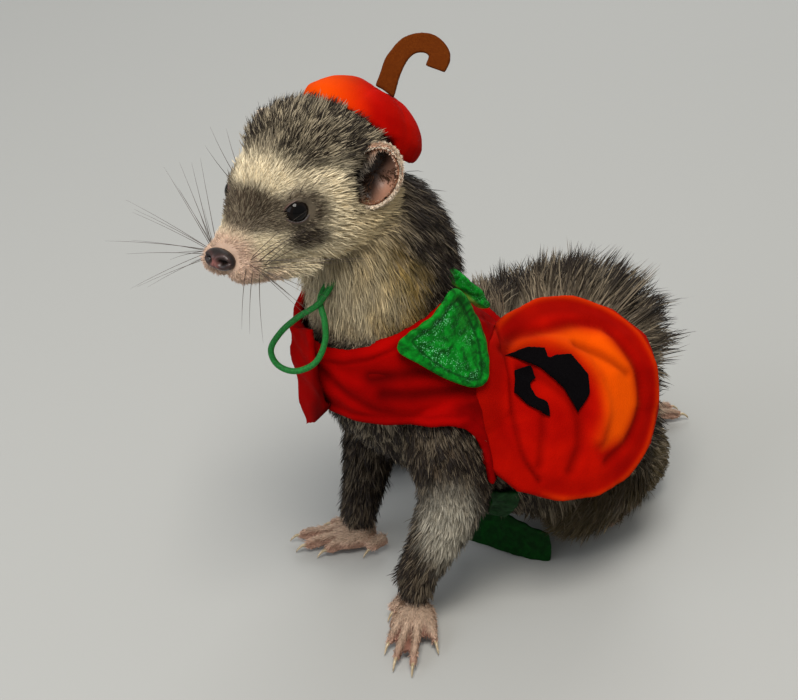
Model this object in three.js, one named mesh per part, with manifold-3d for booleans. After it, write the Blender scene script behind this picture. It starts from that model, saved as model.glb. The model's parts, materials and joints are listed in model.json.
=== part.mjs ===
// A life-size sable ferret sitting up in a pumpkin fancy dress: a quilted cap with a felt stem and a
// chin elastic, and a velour coat with a round pumpkin panel, leaf collar and belly strap.
// Millimetres, +Z up. The animal faces -Y, and its left is +X. It is modelled out to the tips of its
// coat, in the pieces that a person would name, with a gap of GAP between pieces that touch.
import * as THREE from "three";
import { mergeVertices } from "three/addons/utils/BufferGeometryUtils.js";
import Module from "manifold-3d";

const wasm = await Module();
wasm.setup();

const TRIES = 1500;
const GAP = 0.3;
const FINEST = 0.03;
const LEFT = 1;
const RIGHT = -1;
const UP = new THREE.Vector3(0, 0, 1);
const ACROSS = new THREE.Vector3(1, 0, 0);

// Driving sizes of the animal
const HEAD_AT = [-1, -125, 162];
const HEAD_PITCH = -3;
const HEAD_YAW = 26;
const EYE_RADIUS = 4.2;
const EYE_AT = [12.4, -25.2, 4.1];
const EAR_AT = [21.5, 1, 6];
const COAT_LOCK = 19.5;

// Driving sizes of the costume
const CLOTH = 2.2;
const LEAF_THICK = 1.6;
const STRAP_THICK = 1.8;
const STEM_THICK = 2;
const PANEL_RADIUS = [36.5, 36];
const PANEL_AT = [34.5, -51, 79.5];
const PANEL_FACING = [0.8, 0.1, 0.58];
const PANEL_BEND = 85;
const PANEL_THICK = 2.8;
const PANEL_DEPTH = 34;
const PATCH_THICK = 0.9;
const CAP_AT = [-9.2, -106, 173.9];
const CAP_UP = [-0.084, 0.63, 0.772];
const CAP_RADIUS = 21;
const CAP_HEIGHT = 14;
const CAP_BRIM = 6;
const CORD_RADIUS = 1;

const degrees = THREE.MathUtils.degToRad;
const vector = (p) => new THREE.Vector3(...p);

// Repeatable random numbers, so that the coat is the same on every run
function seededRandom(seed) {
  let state = seed;
  return () => {
    state = (state * 1664525 + 1013904223) % 4294967296;
    return state / 4294967296;
  };
}

// Solids

function solid(geometry) {
  const bare = geometry.index ? geometry.toNonIndexed() : geometry.clone();
  bare.deleteAttribute("normal");
  bare.deleteAttribute("uv");
  const merged = mergeVertices(bare, 1e-3);
  const made = new wasm.Manifold(
    new wasm.Mesh({
      numProp: 3,
      vertProperties: merged.attributes.position.array,
      triVerts: new Uint32Array(merged.index.array),
    }),
  );
  if (made.volume() < 0) throw new Error("a surface faces inwards");
  return made;
}

function geometryOf(manifold) {
  const mesh = manifold.getMesh();
  return new THREE.BufferGeometry()
    .setAttribute("position", new THREE.BufferAttribute(mesh.vertProperties.slice(), 3))
    .setIndex(new THREE.BufferAttribute(mesh.triVerts.slice(), 1));
}

const joined = (solids) => solids.reduce((whole, next) => whole.add(next));

// The largest closed surface alone, filled where it held a sealed hollow
function largest(manifold) {
  const pieces = manifold.decompose();
  return pieces.reduce((best, piece) => (piece.volume() > best.volume() ? piece : best));
}

const above = (manifold, normal, point, gap = GAP / 2) => {
  const n = vector(normal).normalize();
  return manifold.trimByPlane(n.toArray(), n.dot(vector(point)) + gap);
};

const standing = (manifold) => manifold.trimByPlane([0, 0, 1], 0);

// Where the rings of a body lie along its line, with how wide each is beside the full section
function ringPlaces(length, [first, last], steps, capRings) {
  const places = [];
  for (let i = 1; i < capRings; i++) {
    const turn = (i * Math.PI) / 2 / capRings;
    places.push({ at: first * (1 - Math.cos(turn)), share: Math.sin(turn) });
  }
  for (let i = 0; i <= steps; i++) {
    places.push({ at: first + ((length - first - last) * i) / steps, share: 1 });
  }
  for (let i = capRings - 1; i > 0; i--) {
    const turn = (i * Math.PI) / 2 / capRings;
    places.push({ at: length - last * (1 - Math.cos(turn)), share: Math.sin(turn) });
  }
  return places;
}

// A closed body of oval sections along a smooth line. A station is [x, y, z, half width, rise, drop]:
// its centre, how far the section reaches to each side, and how far up the back and down the belly.
// A square over 2 fills its corners out.
class OvalBody {
  constructor(stations, options = {}) {
    const usual = { across: ACROSS, sides: 20, steps: 12, round: [8, 8], rings: 3, grow: 0, square: 2 };
    Object.assign(this, usual, options);
    this.line = new THREE.CatmullRomCurve3(stations.map((s) => vector(s.slice(0, 3))));
    this.reach = new THREE.CatmullRomCurve3(stations.map((s) => vector(s.slice(3, 6))));
    this.length = this.line.getLength();
  }

  frameAt(distance) {
    const t = this.line.getUtoTmapping(0, Math.min(Math.max(distance, 0), this.length));
    const tangent = this.line.getTangent(t);
    const side = this.across.clone().addScaledVector(tangent, -this.across.dot(tangent)).normalize();
    return {
      centre: this.line.getPoint(t),
      reach: this.reach.getPoint(t),
      tangent,
      side,
      back: side.clone().cross(tangent),
    };
  }

  // The surface point at a distance along the line and an angle round it, 0 on the left and 90 on the back
  point(distance, angle, share = 1) {
    const { centre, reach, side, back } = this.frameAt(distance);
    const tall = Math.sin(angle) > 0 ? reach.y : reach.z;
    const fill = (x) => Math.sign(x) * Math.abs(x) ** (2 / this.square);
    return centre
      .addScaledVector(side, fill(Math.cos(angle)) * (reach.x + this.grow) * share)
      .addScaledVector(back, fill(Math.sin(angle)) * (tall + this.grow) * share);
  }

  // The same, with the round ends taken in
  skin(distance, angle) {
    const [first, last] = this.round;
    const d = Math.min(Math.max(distance, 0.05), this.length - 0.05);
    const short = Math.max(1 - d / first, 1 - (this.length - d) / last, 0);
    return this.point(d, angle, Math.sqrt(1 - short * short));
  }

  normal(distance, angle) {
    const step = 0.5;
    const d = Math.min(Math.max(distance, 0.6), this.length - 0.6);
    const along = this.skin(d + step, angle).sub(this.skin(d - step, angle));
    const round = this.skin(d, angle + 0.03).sub(this.skin(d, angle - 0.03));
    return along.cross(round).normalize();
  }

  solid() {
    const places = ringPlaces(this.length, this.round, this.steps, this.rings);
    const first = this.frameAt(0);
    const last = this.frameAt(this.length);
    const points = [first.centre.addScaledVector(first.tangent, -this.grow)];
    for (const { at, share } of places) {
      for (let i = 0; i < this.sides; i++) {
        points.push(this.point(at, (i * 2 * Math.PI) / this.sides, share));
      }
    }
    points.push(last.centre.addScaledVector(last.tangent, this.grow));
    const faces = [];
    const ring = (k, i) => 1 + k * this.sides + (i % this.sides);
    const end = points.length - 1;
    for (let i = 0; i < this.sides; i++) {
      faces.push(0, ring(0, i), ring(0, i + 1));
      faces.push(end, ring(places.length - 1, i + 1), ring(places.length - 1, i));
      for (let k = 0; k + 1 < places.length; k++) {
        faces.push(ring(k, i), ring(k + 1, i), ring(k + 1, i + 1));
        faces.push(ring(k, i), ring(k + 1, i + 1), ring(k, i + 1));
      }
    }
    const geometry = new THREE.BufferGeometry().setFromPoints(points).setIndex(faces);
    return solid(geometry);
  }
}

const oval = (stations, options) => new OvalBody(stations, options).solid();

function ellipsoid(centre, radii, { matrix, segments = [20, 14] } = {}) {
  const geometry = new THREE.SphereGeometry(1, ...segments).scale(...radii).translate(...centre);
  return solid(matrix ? geometry.applyMatrix4(matrix) : geometry);
}

const shapeThrough = (points) => new THREE.Shape(points.map(([x, y]) => new THREE.Vector2(x, y)));

// A thin solid with rounded corners from an outline, in the plane of the frame's x and y
function plate(outline, depth, matrix, curveSegments = 6) {
  const geometry = new THREE.ExtrudeGeometry(outline, { depth, bevelEnabled: false, curveSegments });
  return solid(geometry.applyMatrix4(matrix));
}

// A frame whose z axis faces a direction, with its x axis as near as can be to another
function frameFacing(point, facing, along) {
  const z = vector(facing).normalize();
  const x = vector(along).addScaledVector(z, -z.dot(vector(along))).normalize();
  return new THREE.Matrix4().makeBasis(x, z.clone().cross(x), z).setPosition(...point);
}

// The trunk

const torsoStations = [
  [0, -104, 124, 25, 24, 23],
  [0, -103, 108, 29, 29, 30],
  [0, -98, 90, 32, 30, 31],
  [0, -82, 73, 34, 32, 31],
  [0, -61, 61, 37, 36, 39],
  [0, -39, 55, 38.5, 43, 44],
  [0, -20, 52, 35, 39, 42],
  [0, -8, 50, 25, 30, 34],
];
const neckStations = [
  [-6, -117, 168, 20, 18, 18],
  [-4, -112, 154, 23, 20, 23],
  [-1, -106, 139, 25, 24, 27],
  [0, -103, 122, 27, 26, 28],
  [0, -101, 106, 28, 27, 28],
];
const torso = (grow = 0) =>
  new OvalBody(torsoStations, { grow, sides: 20, steps: 11, round: [9, 14], square: 2.2 });
const neck = (grow = 0) => new OvalBody(neckStations, { grow, sides: 18, steps: 5, round: [8, 8], rings: 2 });

// The head, in its own frame: the nose points along -Y from the middle between the ears

const headFrame = new THREE.Matrix4()
  .makeTranslation(...HEAD_AT)
  .multiply(new THREE.Matrix4().makeRotationZ(degrees(HEAD_YAW)))
  .multiply(new THREE.Matrix4().makeRotationX(degrees(HEAD_PITCH)));

const onHead = (manifold) => manifold.transform(headFrame.elements);
const ball = (centre, radius, segments = [12, 9]) => ellipsoid(centre, Array(3).fill(radius), { segments });
const bothSides = (make) => [LEFT, RIGHT].map(make);

const skullStations = [
  [0, -46, -8, 6, 5, 5],
  [0, -41, -7.5, 8.5, 7.5, 7],
  [0, -34, -6, 11, 9.5, 8.5],
  [0, -27, -4, 14.5, 14.5, 12],
  [0, -19, -2, 19, 21.5, 16],
  [0, -8, -1, 23, 27.5, 19],
  [0, 5, -1, 24.5, 26.5, 21],
  [0, 18, -4, 23, 20, 20],
];

const skull = (grow = 0) =>
  oval(skullStations, { grow, sides: 18, steps: 9, round: [5, 9], rings: 2, square: 2.3 });

const jaw = () =>
  oval(
    [
      [0, -40.5, -15, 5, 4, 3.2],
      [0, -34, -15.5, 8, 5, 4],
      [0, -25, -16, 12, 8, 5],
      [0, -14, -16, 16, 10, 6],
    ],
    { sides: 14, steps: 4, round: [4, 6], rings: 2 },
  );

const muzzlePad = (side) => ellipsoid([side * 5, -39.5, -10.5], [5.8, 7, 5.4], { segments: [10, 7] });

// The groove where the lips meet, from under the nose to the corner below the eye
const mouthLine = (side) =>
  oval(
    [
      [side * 0.2, -46, -15, 0.8, 0.7, 0.7],
      [side * 5, -44.8, -14.6, 0.8, 0.7, 0.7],
      [side * 9.4, -38.4, -14, 0.8, 0.7, 0.7],
      [side * 12.4, -31.5, -13, 0.8, 0.7, 0.7],
      [side * 14.2, -26, -12, 0.6, 0.5, 0.5],
    ],
    { across: UP, sides: 4, steps: 5, round: [0.5, 0.5], rings: 1 },
  );

const eyeCentre = (side) => [side * EYE_AT[0], EYE_AT[1], EYE_AT[2]];
const eyeFacing = (side) => [side * 0.86, -0.47, 0.2];

// The almond between the lids, cut straight in along the way the eye faces
function eyeOpening(side) {
  const half = 4.3;
  const outline = new THREE.Shape()
    .moveTo(-half, 0)
    .quadraticCurveTo(0, 4.6, half, 0.3)
    .quadraticCurveTo(0, -4.2, -half, 0);
  return plate(outline, 12, frameFacing(eyeCentre(side), eyeFacing(side), [0, side, 0]), 4);
}

const NOSE_AT = [0, -46.4, -7.2];
const NOSE_SIZE = [5.3, 3.2, 3.5];
const nosePad = (grow) => ellipsoid(NOSE_AT, NOSE_SIZE.map((r) => r + grow), { segments: [14, 10] });

// The longest whiskers, from the muzzle pads: which way each points on the left side, and its length
const WHISKERS = [
  { toward: [0.85, -0.25, 0.35], length: 43 },
  { toward: [0.8, -0.35, 0.05], length: 38 },
  { toward: [0.75, 0.1, 0.65], length: 38 },
  { toward: [0.6, 0.3, 0.74], length: 34 },
  { toward: [0.55, -0.75, -0.22], length: 30 },
  { toward: [0.78, 0.6, 0.1], length: 42 },
  { toward: [0.85, 0.2, -0.3], length: 34 },
];
const WHISKER_DROOP = 0.12;
const WHISKER_RADII = [0.34, 0.31, 0.27, 0.15];

function whisker(side, { toward, length }) {
  const way = vector(toward).normalize();
  const stations = WHISKER_RADII.map((radius, i) => {
    const t = i / (WHISKER_RADII.length - 1);
    const [x, y, z] = way.toArray().map((w) => w * length * t);
    return [side * (6 + x), -39.5 + y, -10 + z - WHISKER_DROOP * length * t * t, radius, radius, radius];
  });
  return oval(stations, { across: UP, sides: 3, steps: 3, round: [0.3, 0.6], rings: 1 });
}

function head() {
  const lids = bothSides((side) => ball(eyeCentre(side), EYE_RADIUS + 1.4, [12, 9]));
  const flesh = joined([skull(), jaw(), ...bothSides(muzzlePad), ...lids]);
  const cuts = joined([
    ...bothSides((side) => ball(eyeCentre(side), EYE_RADIUS + GAP)),
    ...bothSides(eyeOpening),
    ...bothSides(mouthLine),
    nosePad(GAP),
  ]);
  const whiskers = joined(bothSides((side) => joined(WHISKERS.map((spec) => whisker(side, spec)))));
  return onHead(flesh.subtract(cuts).add(whiskers));
}

function nose() {
  const nostril = (side) =>
    oval(
      [
        [side * 2.1, -51, -6.7, 1.2, 1.1, 1],
        [side * 2.8, -48.6, -6.9, 1.1, 1, 1],
        [side * 4.3, -46.2, -6.6, 0.6, 0.5, 0.5],
      ],
      { across: UP, sides: 6, steps: 2, round: [0.6, 0.5], rings: 1 },
    );
  return onHead(nosePad(0).subtract(joined(bothSides(nostril))));
}

const eye = (side) => onHead(ball(eyeCentre(side), EYE_RADIUS));

// A cupped ear that stands up and out, open to the front
const earFrame = (side) =>
  new THREE.Matrix4()
    .makeTranslation(side * EAR_AT[0], EAR_AT[1], EAR_AT[2])
    .multiply(new THREE.Matrix4().makeRotationZ(degrees(side * 38)))
    .multiply(new THREE.Matrix4().makeRotationX(degrees(-8)))
    .multiply(new THREE.Matrix4().makeRotationY(degrees(side * 24)));

const earBack = (side, grow = 0) =>
  ellipsoid([0, 0, 3], [9.6 + grow, 6 + grow, 12 + grow], { matrix: earFrame(side), segments: [16, 12] });

function ear(side) {
  const hollow = ellipsoid([0, -3.4, 2.6], [7.8, 6.2, 10.2], { matrix: earFrame(side), segments: [14, 10] });
  const square = shapeThrough([[-20, -20], [20, -20], [20, 20], [-20, 20]]);
  const front = earFrame(side).multiply(frameFacing([0, -1.8, 0], [0, -1, 0], [1, 0, 0]));
  return onHead(earBack(side).subtract(hollow).subtract(plate(square, 20, front)));
}

// Legs and feet

const foreleg = (side, grow = 0) => {
  const wrist = WRISTS[side];
  return new OvalBody(
    [
      [side * 19, -98, 92, 14, 17, 15],
      [side * 26, -97, 74, 14, 16, 15],
      [side * 30, -96, 54, 12.5, 14, 12.5],
      [(side * 30 + wrist[0]) / 2, -101, 36, 10, 10.5, 10],
      [wrist[0], wrist[1], wrist[2] + 9, 8, 8, 8],
      [wrist[0], wrist[1] - 2, wrist[2], 8, 7.5, 7],
    ],
    { grow, sides: 12, steps: 7, round: [8, 5], rings: 2 },
  );
};

const FOREFEET = {
  [LEFT]: { heel: [31, -112], heading: -36 },
  [RIGHT]: { heel: [-21, -108], heading: -114 },
};
const HINDFEET = {
  [LEFT]: { heel: [11, -12], heading: -94 },
  [RIGHT]: { heel: [-36, 18], heading: 76 },
};
const WRISTS = { [LEFT]: [27, -108, 12], [RIGHT]: [-21, -107, 12] };

// A foot pointing along +X from its heel, standing on the floor, with five clawed toes
const TOES = [
  { out: -6.6, from: -6, length: 3, turn: -32 },
  { out: -4.8, from: 4, length: 9.5, turn: -16 },
  { out: -1.8, from: 7, length: 14, turn: -8 },
  { out: 1.9, from: 8, length: 15, turn: 2 },
  { out: 5.2, from: 3.5, length: 8, turn: 24 },
];

function toe({ out, from, length, turn }, side, size) {
  const c = Math.cos(degrees(turn));
  const s = Math.sin(degrees(turn));
  const across = new THREE.Vector3(-s * side, c, 0);
  const spot = (d, z, ...reach) => [from + d * c, side * (out + d * s), z, ...reach].map((x) => x * size);
  const flesh = oval(
    [
      spot(-4, 5, 2.6, 2.6, 3.4),
      spot(length * 0.35, 5, 2.7, 2.5, 3.2),
      spot(length * 0.75, 3.4, 2.7, 2.1, 3),
      spot(length, 2.6, 2, 1.4, 2.2),
    ],
    { across, sides: 5, steps: 2, round: [1.5 * size, 1.8 * size], rings: 2 },
  );
  const claw = oval(
    [
      spot(length - 2, 3.6, 1.1, 1.1, 1.1),
      spot(length + 2.4, 3.4, 0.9, 0.9, 0.9),
      spot(length + 5, 1.6, 0.5, 0.5, 0.5),
      spot(length + 6, 0.3, 0.3, 0.3, 0.3),
    ],
    { across, sides: 3, steps: 2, round: [0.4, 0.3], rings: 1 },
  );
  return flesh.add(claw);
}

function foot(side, heel, heading, size = 1, heelBack = 6) {
  const sole = oval(
    [
      [-heelBack, 0, 5, 5.5, 4.5, 6],
      [0, 0, 5.2, 7.5, 5.5, 6],
      [6, 0, 4.6, 8.6, 4.2, 5.2],
      [11, 0, 3.8, 8, 3, 4.2],
    ].map((s) => s.map((x) => x * size)),
    { across: new THREE.Vector3(0, 1, 0), sides: 10, steps: 4, round: [5 * size, 4 * size], rings: 2 },
  );
  const toes = TOES.map((t) => toe(t, side, size));
  const place = new THREE.Matrix4()
    .makeTranslation(heel[0], heel[1], 0)
    .multiply(new THREE.Matrix4().makeRotationZ(degrees(heading)));
  return standing(joined([sole, ...toes]).transform(place.elements));
}

// The hind legs: the left one is tucked under the belly, the right one stretches back from under the rump
const hindfootRoom = (side) => {
  const { heel, heading } = HINDFEET[side];
  const place = new THREE.Matrix4()
    .makeTranslation(heel[0], heel[1], 0)
    .multiply(new THREE.Matrix4().makeRotationZ(degrees(heading)));
  return oval(
    [
      [-11, 0, 5, 8, 7, 9],
      [4, 0, 5, 12, 7, 9],
      [16, 0, 5, 16, 6, 9],
      [34, 0, 4, 15, 5, 9],
    ],
    { across: new THREE.Vector3(0, 1, 0), sides: 10, steps: 4, round: [3, 4], rings: 2 },
  ).transform(place.elements);
};
const THIGHS = {
  [LEFT]: [
    [15, -18, 48, 15, 17, 17],
    [21, -27, 36, 16, 18, 18],
    [22, -40, 26, 14, 14, 15],
    [18, -48, 19, 10, 10, 11],
  ],
  [RIGHT]: [
    [-15, -16, 50, 15, 17, 17],
    [-24, -22, 38, 16, 18, 18],
    [-30, -28, 24, 13, 13, 14],
    [-32, -30, 16, 10, 10, 11],
  ],
};
const SHANKS = {
  [LEFT]: [
    [16, -40, 14, 8, 9, 9],
    [14, -26, 11, 8, 8, 8],
    [12, -14, 9, 7, 7, 7],
  ],
  [RIGHT]: [
    [-33, -22, 15, 9, 10, 10],
    [-35, -8, 12, 9, 9, 10],
    [-37, 6, 10, 8, 8, 8],
    [-37, 18, 8, 7, 6, 7],
  ],
};
const thigh = (side, grow = 0) =>
  new OvalBody(THIGHS[side], { grow, sides: 14, steps: 5, round: [10, 8], rings: 2 });
const shank = (side, grow = 0) =>
  new OvalBody(SHANKS[side], { grow, sides: 12, steps: 4, round: [6, 5], rings: 2 });

// The tail, curled round the right side

const tailBody = (grow = 0) =>
  new OvalBody(
    [
      [-6, -10, 44, 11, 10, 10],
      [-24, 0, 36, 12, 11, 11],
      [-47, -4, 24, 12, 12, 12],
      [-62, -22, 16, 11, 11, 12],
      [-66, -52, 13, 9, 9, 10],
      [-58, -80, 10, 5, 5, 6],
    ],
    { grow, across: UP, sides: 12, steps: 10, round: [6, 6], rings: 2 },
  );

// A flat, tapered lock of the coat, rooted in the surface and bent towards its lie, with a low ridge
// along its outside
const LOCK_RINGS = [
  { t: -0.2, wide: 0.85 },
  { t: 0.3, wide: 1 },
  { t: 0.7, wide: 0.6 },
];
const LOCK_BEND = 0.5;
const LOCK_FLATNESS = 0.45;

function lock(root, out, lie, length, width) {
  const across = out.clone().cross(lie).add(new THREE.Vector3(1e-4, 2e-4, 1e-4)).normalize();
  const centre = (t) =>
    root
      .clone()
      .addScaledVector(out, length * t * (1 - 0.22 * Math.max(t, 0)))
      .addScaledVector(lie, length * LOCK_BEND * Math.max(t, 0) ** 2);
  const points = [];
  for (const { t, wide } of LOCK_RINGS) {
    const ahead = centre(t + 0.05).sub(centre(t - 0.05)).normalize();
    const ridge = ahead.cross(across).normalize();
    points.push(centre(t).addScaledVector(across, width * wide));
    points.push(centre(t).addScaledVector(across, -width * wide));
    points.push(centre(t).addScaledVector(ridge, width * wide * LOCK_FLATNESS));
  }
  points.push(centre(1));
  const faces = [0, 2, 1];
  for (let i = 0; i < 3; i++) {
    const j = (i + 1) % 3;
    for (const k of [0, 3]) faces.push(k + i, k + 3 + j, k + 3 + i, k + i, k + j, k + 3 + j);
    faces.push(6 + i, 6 + j, 9);
  }
  return closed(points, faces);
}

// The trunk and the upper legs that the clothes lie on, filled out by a clearance
const dressed = (grow) =>
  joined([
    torso(grow).solid(),
    neck(grow).solid(),
    foreleg(LEFT, grow).solid(),
    foreleg(RIGHT, grow).solid(),
  ]);

// A straight-sided solid through the model, with its outline in the frame's x and y
const sideways = new THREE.Matrix4().makeBasis(new THREE.Vector3(0, 1, 0), UP, ACROSS);
const lowered = (matrix, depth) => matrix.clone().multiply(new THREE.Matrix4().makeTranslation(0, 0, -depth));
const prism = (outline, depth, matrix, curveSegments = 8) =>
  plate(outline, 2 * depth, lowered(matrix, depth), curveSegments);

const flatCurve = (points, closed = false) =>
  new THREE.CatmullRomCurve3(points.map(([x, y]) => new THREE.Vector3(x, y, 0)), closed);
const smoothShape = (points) => new THREE.Shape(flatCurve(points, true).getPoints(40));

// The coat: a yoke round the neck and shoulders that runs back to the panel, seen from the left as an
// outline in y and z
function yokeRegion(grow = 0) {
  const outline = new THREE.Shape()
    .moveTo(-150, 86)
    .lineTo(-103, 86)
    .quadraticCurveTo(-91, 85, -89, 68)
    .lineTo(-86, 50)
    .lineTo(-70 + grow, 47 - grow)
    .quadraticCurveTo(-66 + grow, 60, -66 + grow, 80)
    .quadraticCurveTo(-66 + grow, 100, -58 + grow, 112)
    .lineTo(-62 + grow, 124 + grow)
    .lineTo(-97, 125 + grow)
    .lineTo(-150, 102);
  return prism(outline, 60, sideways);
}

const vestYoke = (grow = 0) =>
  dressed(GAP + CLOTH + grow).subtract(dressed(GAP - grow)).intersect(yokeRegion(grow));

// The round panel: a shallow dome of plush over the left flank, which rides up over the shoulder
const panelFrame = frameFacing(PANEL_AT, PANEL_FACING, [0, 1, 0]);

function bulge(height) {
  const radii = Array(3).fill(PANEL_BEND + height);
  const dome = ellipsoid([0, 0, -PANEL_BEND], radii, { matrix: panelFrame, segments: [48, 32] });
  return dome.add(dressed(GAP + height));
}

const sheetOver = (outline, bottom, top) =>
  bulge(top).subtract(bulge(bottom)).intersect(prism(outline, PANEL_DEPTH, panelFrame));

const ellipse = (rx, ry) => new THREE.Shape().absellipse(0, 0, rx, ry, 0, 2 * Math.PI);
const panel = (grow = 0) =>
  sheetOver(ellipse(PANEL_RADIUS[0] + grow, PANEL_RADIUS[1] + grow), -grow, PANEL_THICK + grow);

const GRIN = [
  [-19, 20.5],
  [-10, 21],
  [-4, 19],
  [-4.6, 15.5],
  [-1.5, 15.8],
  [3.5, 14.8],
  [7.4, 6.5],
  [5.8, 0.3],
  [-0.6, -4.8],
  [-3, 4.4],
  [-8.5, 12.7],
  [-14, 17.3],
];
const PATCH = [
  [-20, 14.7],
  [-12.5, 14.8],
  [-12.3, 9.8],
  [-15.6, 9],
  [-15, 4.5],
  [-12, 2],
  [-12.2, -3.9],
  [-18.4, 2],
  [-22.2, 7.6],
];
const patch = (outline) =>
  sheetOver(shapeThrough(outline), PANEL_THICK + GAP, PANEL_THICK + GAP + PATCH_THICK);

function leafNear() {
  const frame = frameFacing([26, -91, 108], [0.76, -0.38, 0.53], [0.5, 0.866, 0]);
  const outline = smoothShape([
    [-17.5, 3],
    [-9, 11],
    [-1.5, 19.5],
    [4, 15],
    [9, 3],
    [8.6, -10.5],
    [-4, -8.5],
  ]);
  return dressed(2 * GAP + CLOTH + LEAF_THICK)
    .subtract(dressed(2 * GAP + CLOTH))
    .intersect(prism(outline, 22, frame));
}

// A leaf rolled along its middle, standing up from the nape
const leafBack = () =>
  oval(
    [
      [20, -92, 130, 3.4, 1.6, 1.6],
      [20, -86, 129, 5, 2.2, 2.2],
      [19, -79, 124, 4.6, 2, 2],
      [17, -73, 118, 1.6, 1, 1],
    ],
    { across: new THREE.Vector3(0.5, 0.2, 0.8), sides: 12, steps: 7, round: [1.5, 2] },
  );

// A strip of cloth between two edges, with rounded joins where the edges bend
function strip(edges, thick, along = 8) {
  const [low, high] = edges.map((edge) => new THREE.CatmullRomCurve3(edge.map(vector)));
  const points = [];
  for (let i = 0; i <= along; i++) {
    const a = low.getPoint(i / along);
    const b = high.getPoint(i / along);
    const run = low.getTangent(i / along).add(high.getTangent(i / along)).normalize();
    const out = b.clone().sub(a).cross(run).normalize().multiplyScalar(thick / 2);
    points.push(a.clone().add(out), a.clone().sub(out), b.clone().sub(out), b.clone().add(out));
  }
  const faces = [0, 1, 2, 0, 2, 3];
  for (let k = 0; k < along; k++) {
    for (let i = 0; i < 4; i++) {
      const j = (i + 1) % 4;
      faces.push(4 * k + i, 4 * k + 4 + i, 4 * k + 4 + j, 4 * k + i, 4 * k + 4 + j, 4 * k + j);
    }
  }
  const e = 4 * along;
  faces.push(e, e + 2, e + 1, e, e + 3, e + 2);
  return closed(points, faces);
}

// A solid from points and faces that are wound either way
function closed(points, faces) {
  const geometry = new THREE.BufferGeometry().setFromPoints(points);
  const make = (indices) =>
    new wasm.Manifold(
      new wasm.Mesh({
        numProp: 3,
        vertProperties: geometry.attributes.position.array,
        triVerts: new Uint32Array(indices),
      }),
    );
  const made = make(faces);
  return made.volume() > 0 ? made : make(faces.toReversed());
}

const flap = () =>
  strip(
    [
      [[-5, -136, 112], [-2, -138, 96], [-1, -137, 76]],
      [[11, -136, 119], [13, -137, 102], [13, -134, 84]],
    ],
    CLOTH,
  );

// The belly strap: a band round the underside and its free end, which lies on the floor
function bellyBand(grow = 0) {
  const outline = shapeThrough([[-85, 10], [-71, 10], [-71, 46.5], [-85.5, 49]]);
  const wider = shapeThrough([[-90, 6], [-70, 6], [-70, 50], [-90, 50]]);
  const band = prism(grow > 0 ? wider : outline, 60, sideways);
  return dressed(GAP + STRAP_THICK + grow).subtract(dressed(GAP - grow)).intersect(band);
}

const STRAP_FORM = {
  across: new THREE.Vector3(-0.15, 0, 1),
  sides: 12,
  steps: 6,
  round: [0.5, 0.8],
  rings: 1,
  square: 5,
};
const strapEnd = (grow = 0) =>
  standing(
    oval(
      [
        [0.5, -77, 9, 9, STRAP_THICK / 2, STRAP_THICK / 2],
        [10, -67, 8.2, 8.6, STRAP_THICK / 2, STRAP_THICK / 2],
        [21.5, -51, 5.6, 7.2, STRAP_THICK / 2, STRAP_THICK / 2],
      ],
      { ...STRAP_FORM, grow },
    ),
  );

// The cap: a padded dome on the back of the crown, with its felt stem
const capFrame = frameFacing(CAP_AT, CAP_UP, [1, 0.4, 0]);

// A full dome above and a flatter one below, so that it sits on the crown
function cap(grow = 0) {
  const radii = [CAP_RADIUS + grow, CAP_RADIUS + grow, CAP_HEIGHT + grow];
  const dome = ellipsoid([0, 0, 0], radii, { matrix: capFrame, segments: [20, 12] });
  const flat = [CAP_RADIUS + grow, CAP_RADIUS + grow, CAP_BRIM];
  const brim = ellipsoid([0, 0, 0], flat, { matrix: capFrame, segments: [20, 8] });
  return above(dome, CAP_UP, CAP_AT, 0).add(brim);
}

const STEM_LINE = [
  [-2, -3],
  [-0.3, 5],
  [0.6, 12],
  [-1.6, 18.4],
  [-6.6, 21],
  [-10.8, 19.4],
  [-11.6, 14.8],
];

function stem() {
  const line = flatCurve(STEM_LINE);
  const sides = [[], []];
  for (let i = 0; i <= 24; i++) {
    const p = line.getPoint(i / 24);
    const t = line.getTangent(i / 24);
    const half = 3.4 - 0.3 * Math.sin((Math.PI * i) / 24);
    sides[0].push([p.x - t.y * half, p.y + t.x * half]);
    sides[1].unshift([p.x + t.y * half, p.y - t.x * half]);
  }
  const root = vector(CAP_AT).addScaledVector(vector(CAP_UP), CAP_HEIGHT - 1).toArray();
  const facing = [-0.744, 0.476, -0.469];
  const frame = frameFacing(root, facing, [-0.663, -0.614, 0.428]);
  const turned = frame.multiply(new THREE.Matrix4().makeTranslation(0, 0, -STEM_THICK / 2));
  return plate(shapeThrough(sides.flat()), STEM_THICK, turned);
}

const CORD_LINE = [
  [7.2, -125, 134.6],
  [10.4, -131.6, 129],
  [15, -132.6, 123.2],
  [16.6, -133.6, 116.6],
  [16.6, -137.4, 110],
  [13.6, -143.2, 107],
  [9.4, -147.4, 108.4],
  [6.6, -148.2, 113],
  [7, -144.4, 118.6],
  [9.2, -139.2, 123.6],
  [12.4, -133.2, 128.4],
  [10.6, -126.4, 134],
];

function cord() {
  const line = new THREE.CatmullRomCurve3(CORD_LINE.map(vector));
  const ring = shapeThrough(
    Array.from({ length: 8 }, (_, i) => [
      CORD_RADIUS * Math.cos((i * Math.PI) / 4),
      CORD_RADIUS * Math.sin((i * Math.PI) / 4),
    ]),
  );
  return solid(new THREE.ExtrudeGeometry(ring, { steps: 22, extrudePath: line, bevelEnabled: false }));
}

// Parting the body into the pieces a person would name

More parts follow.
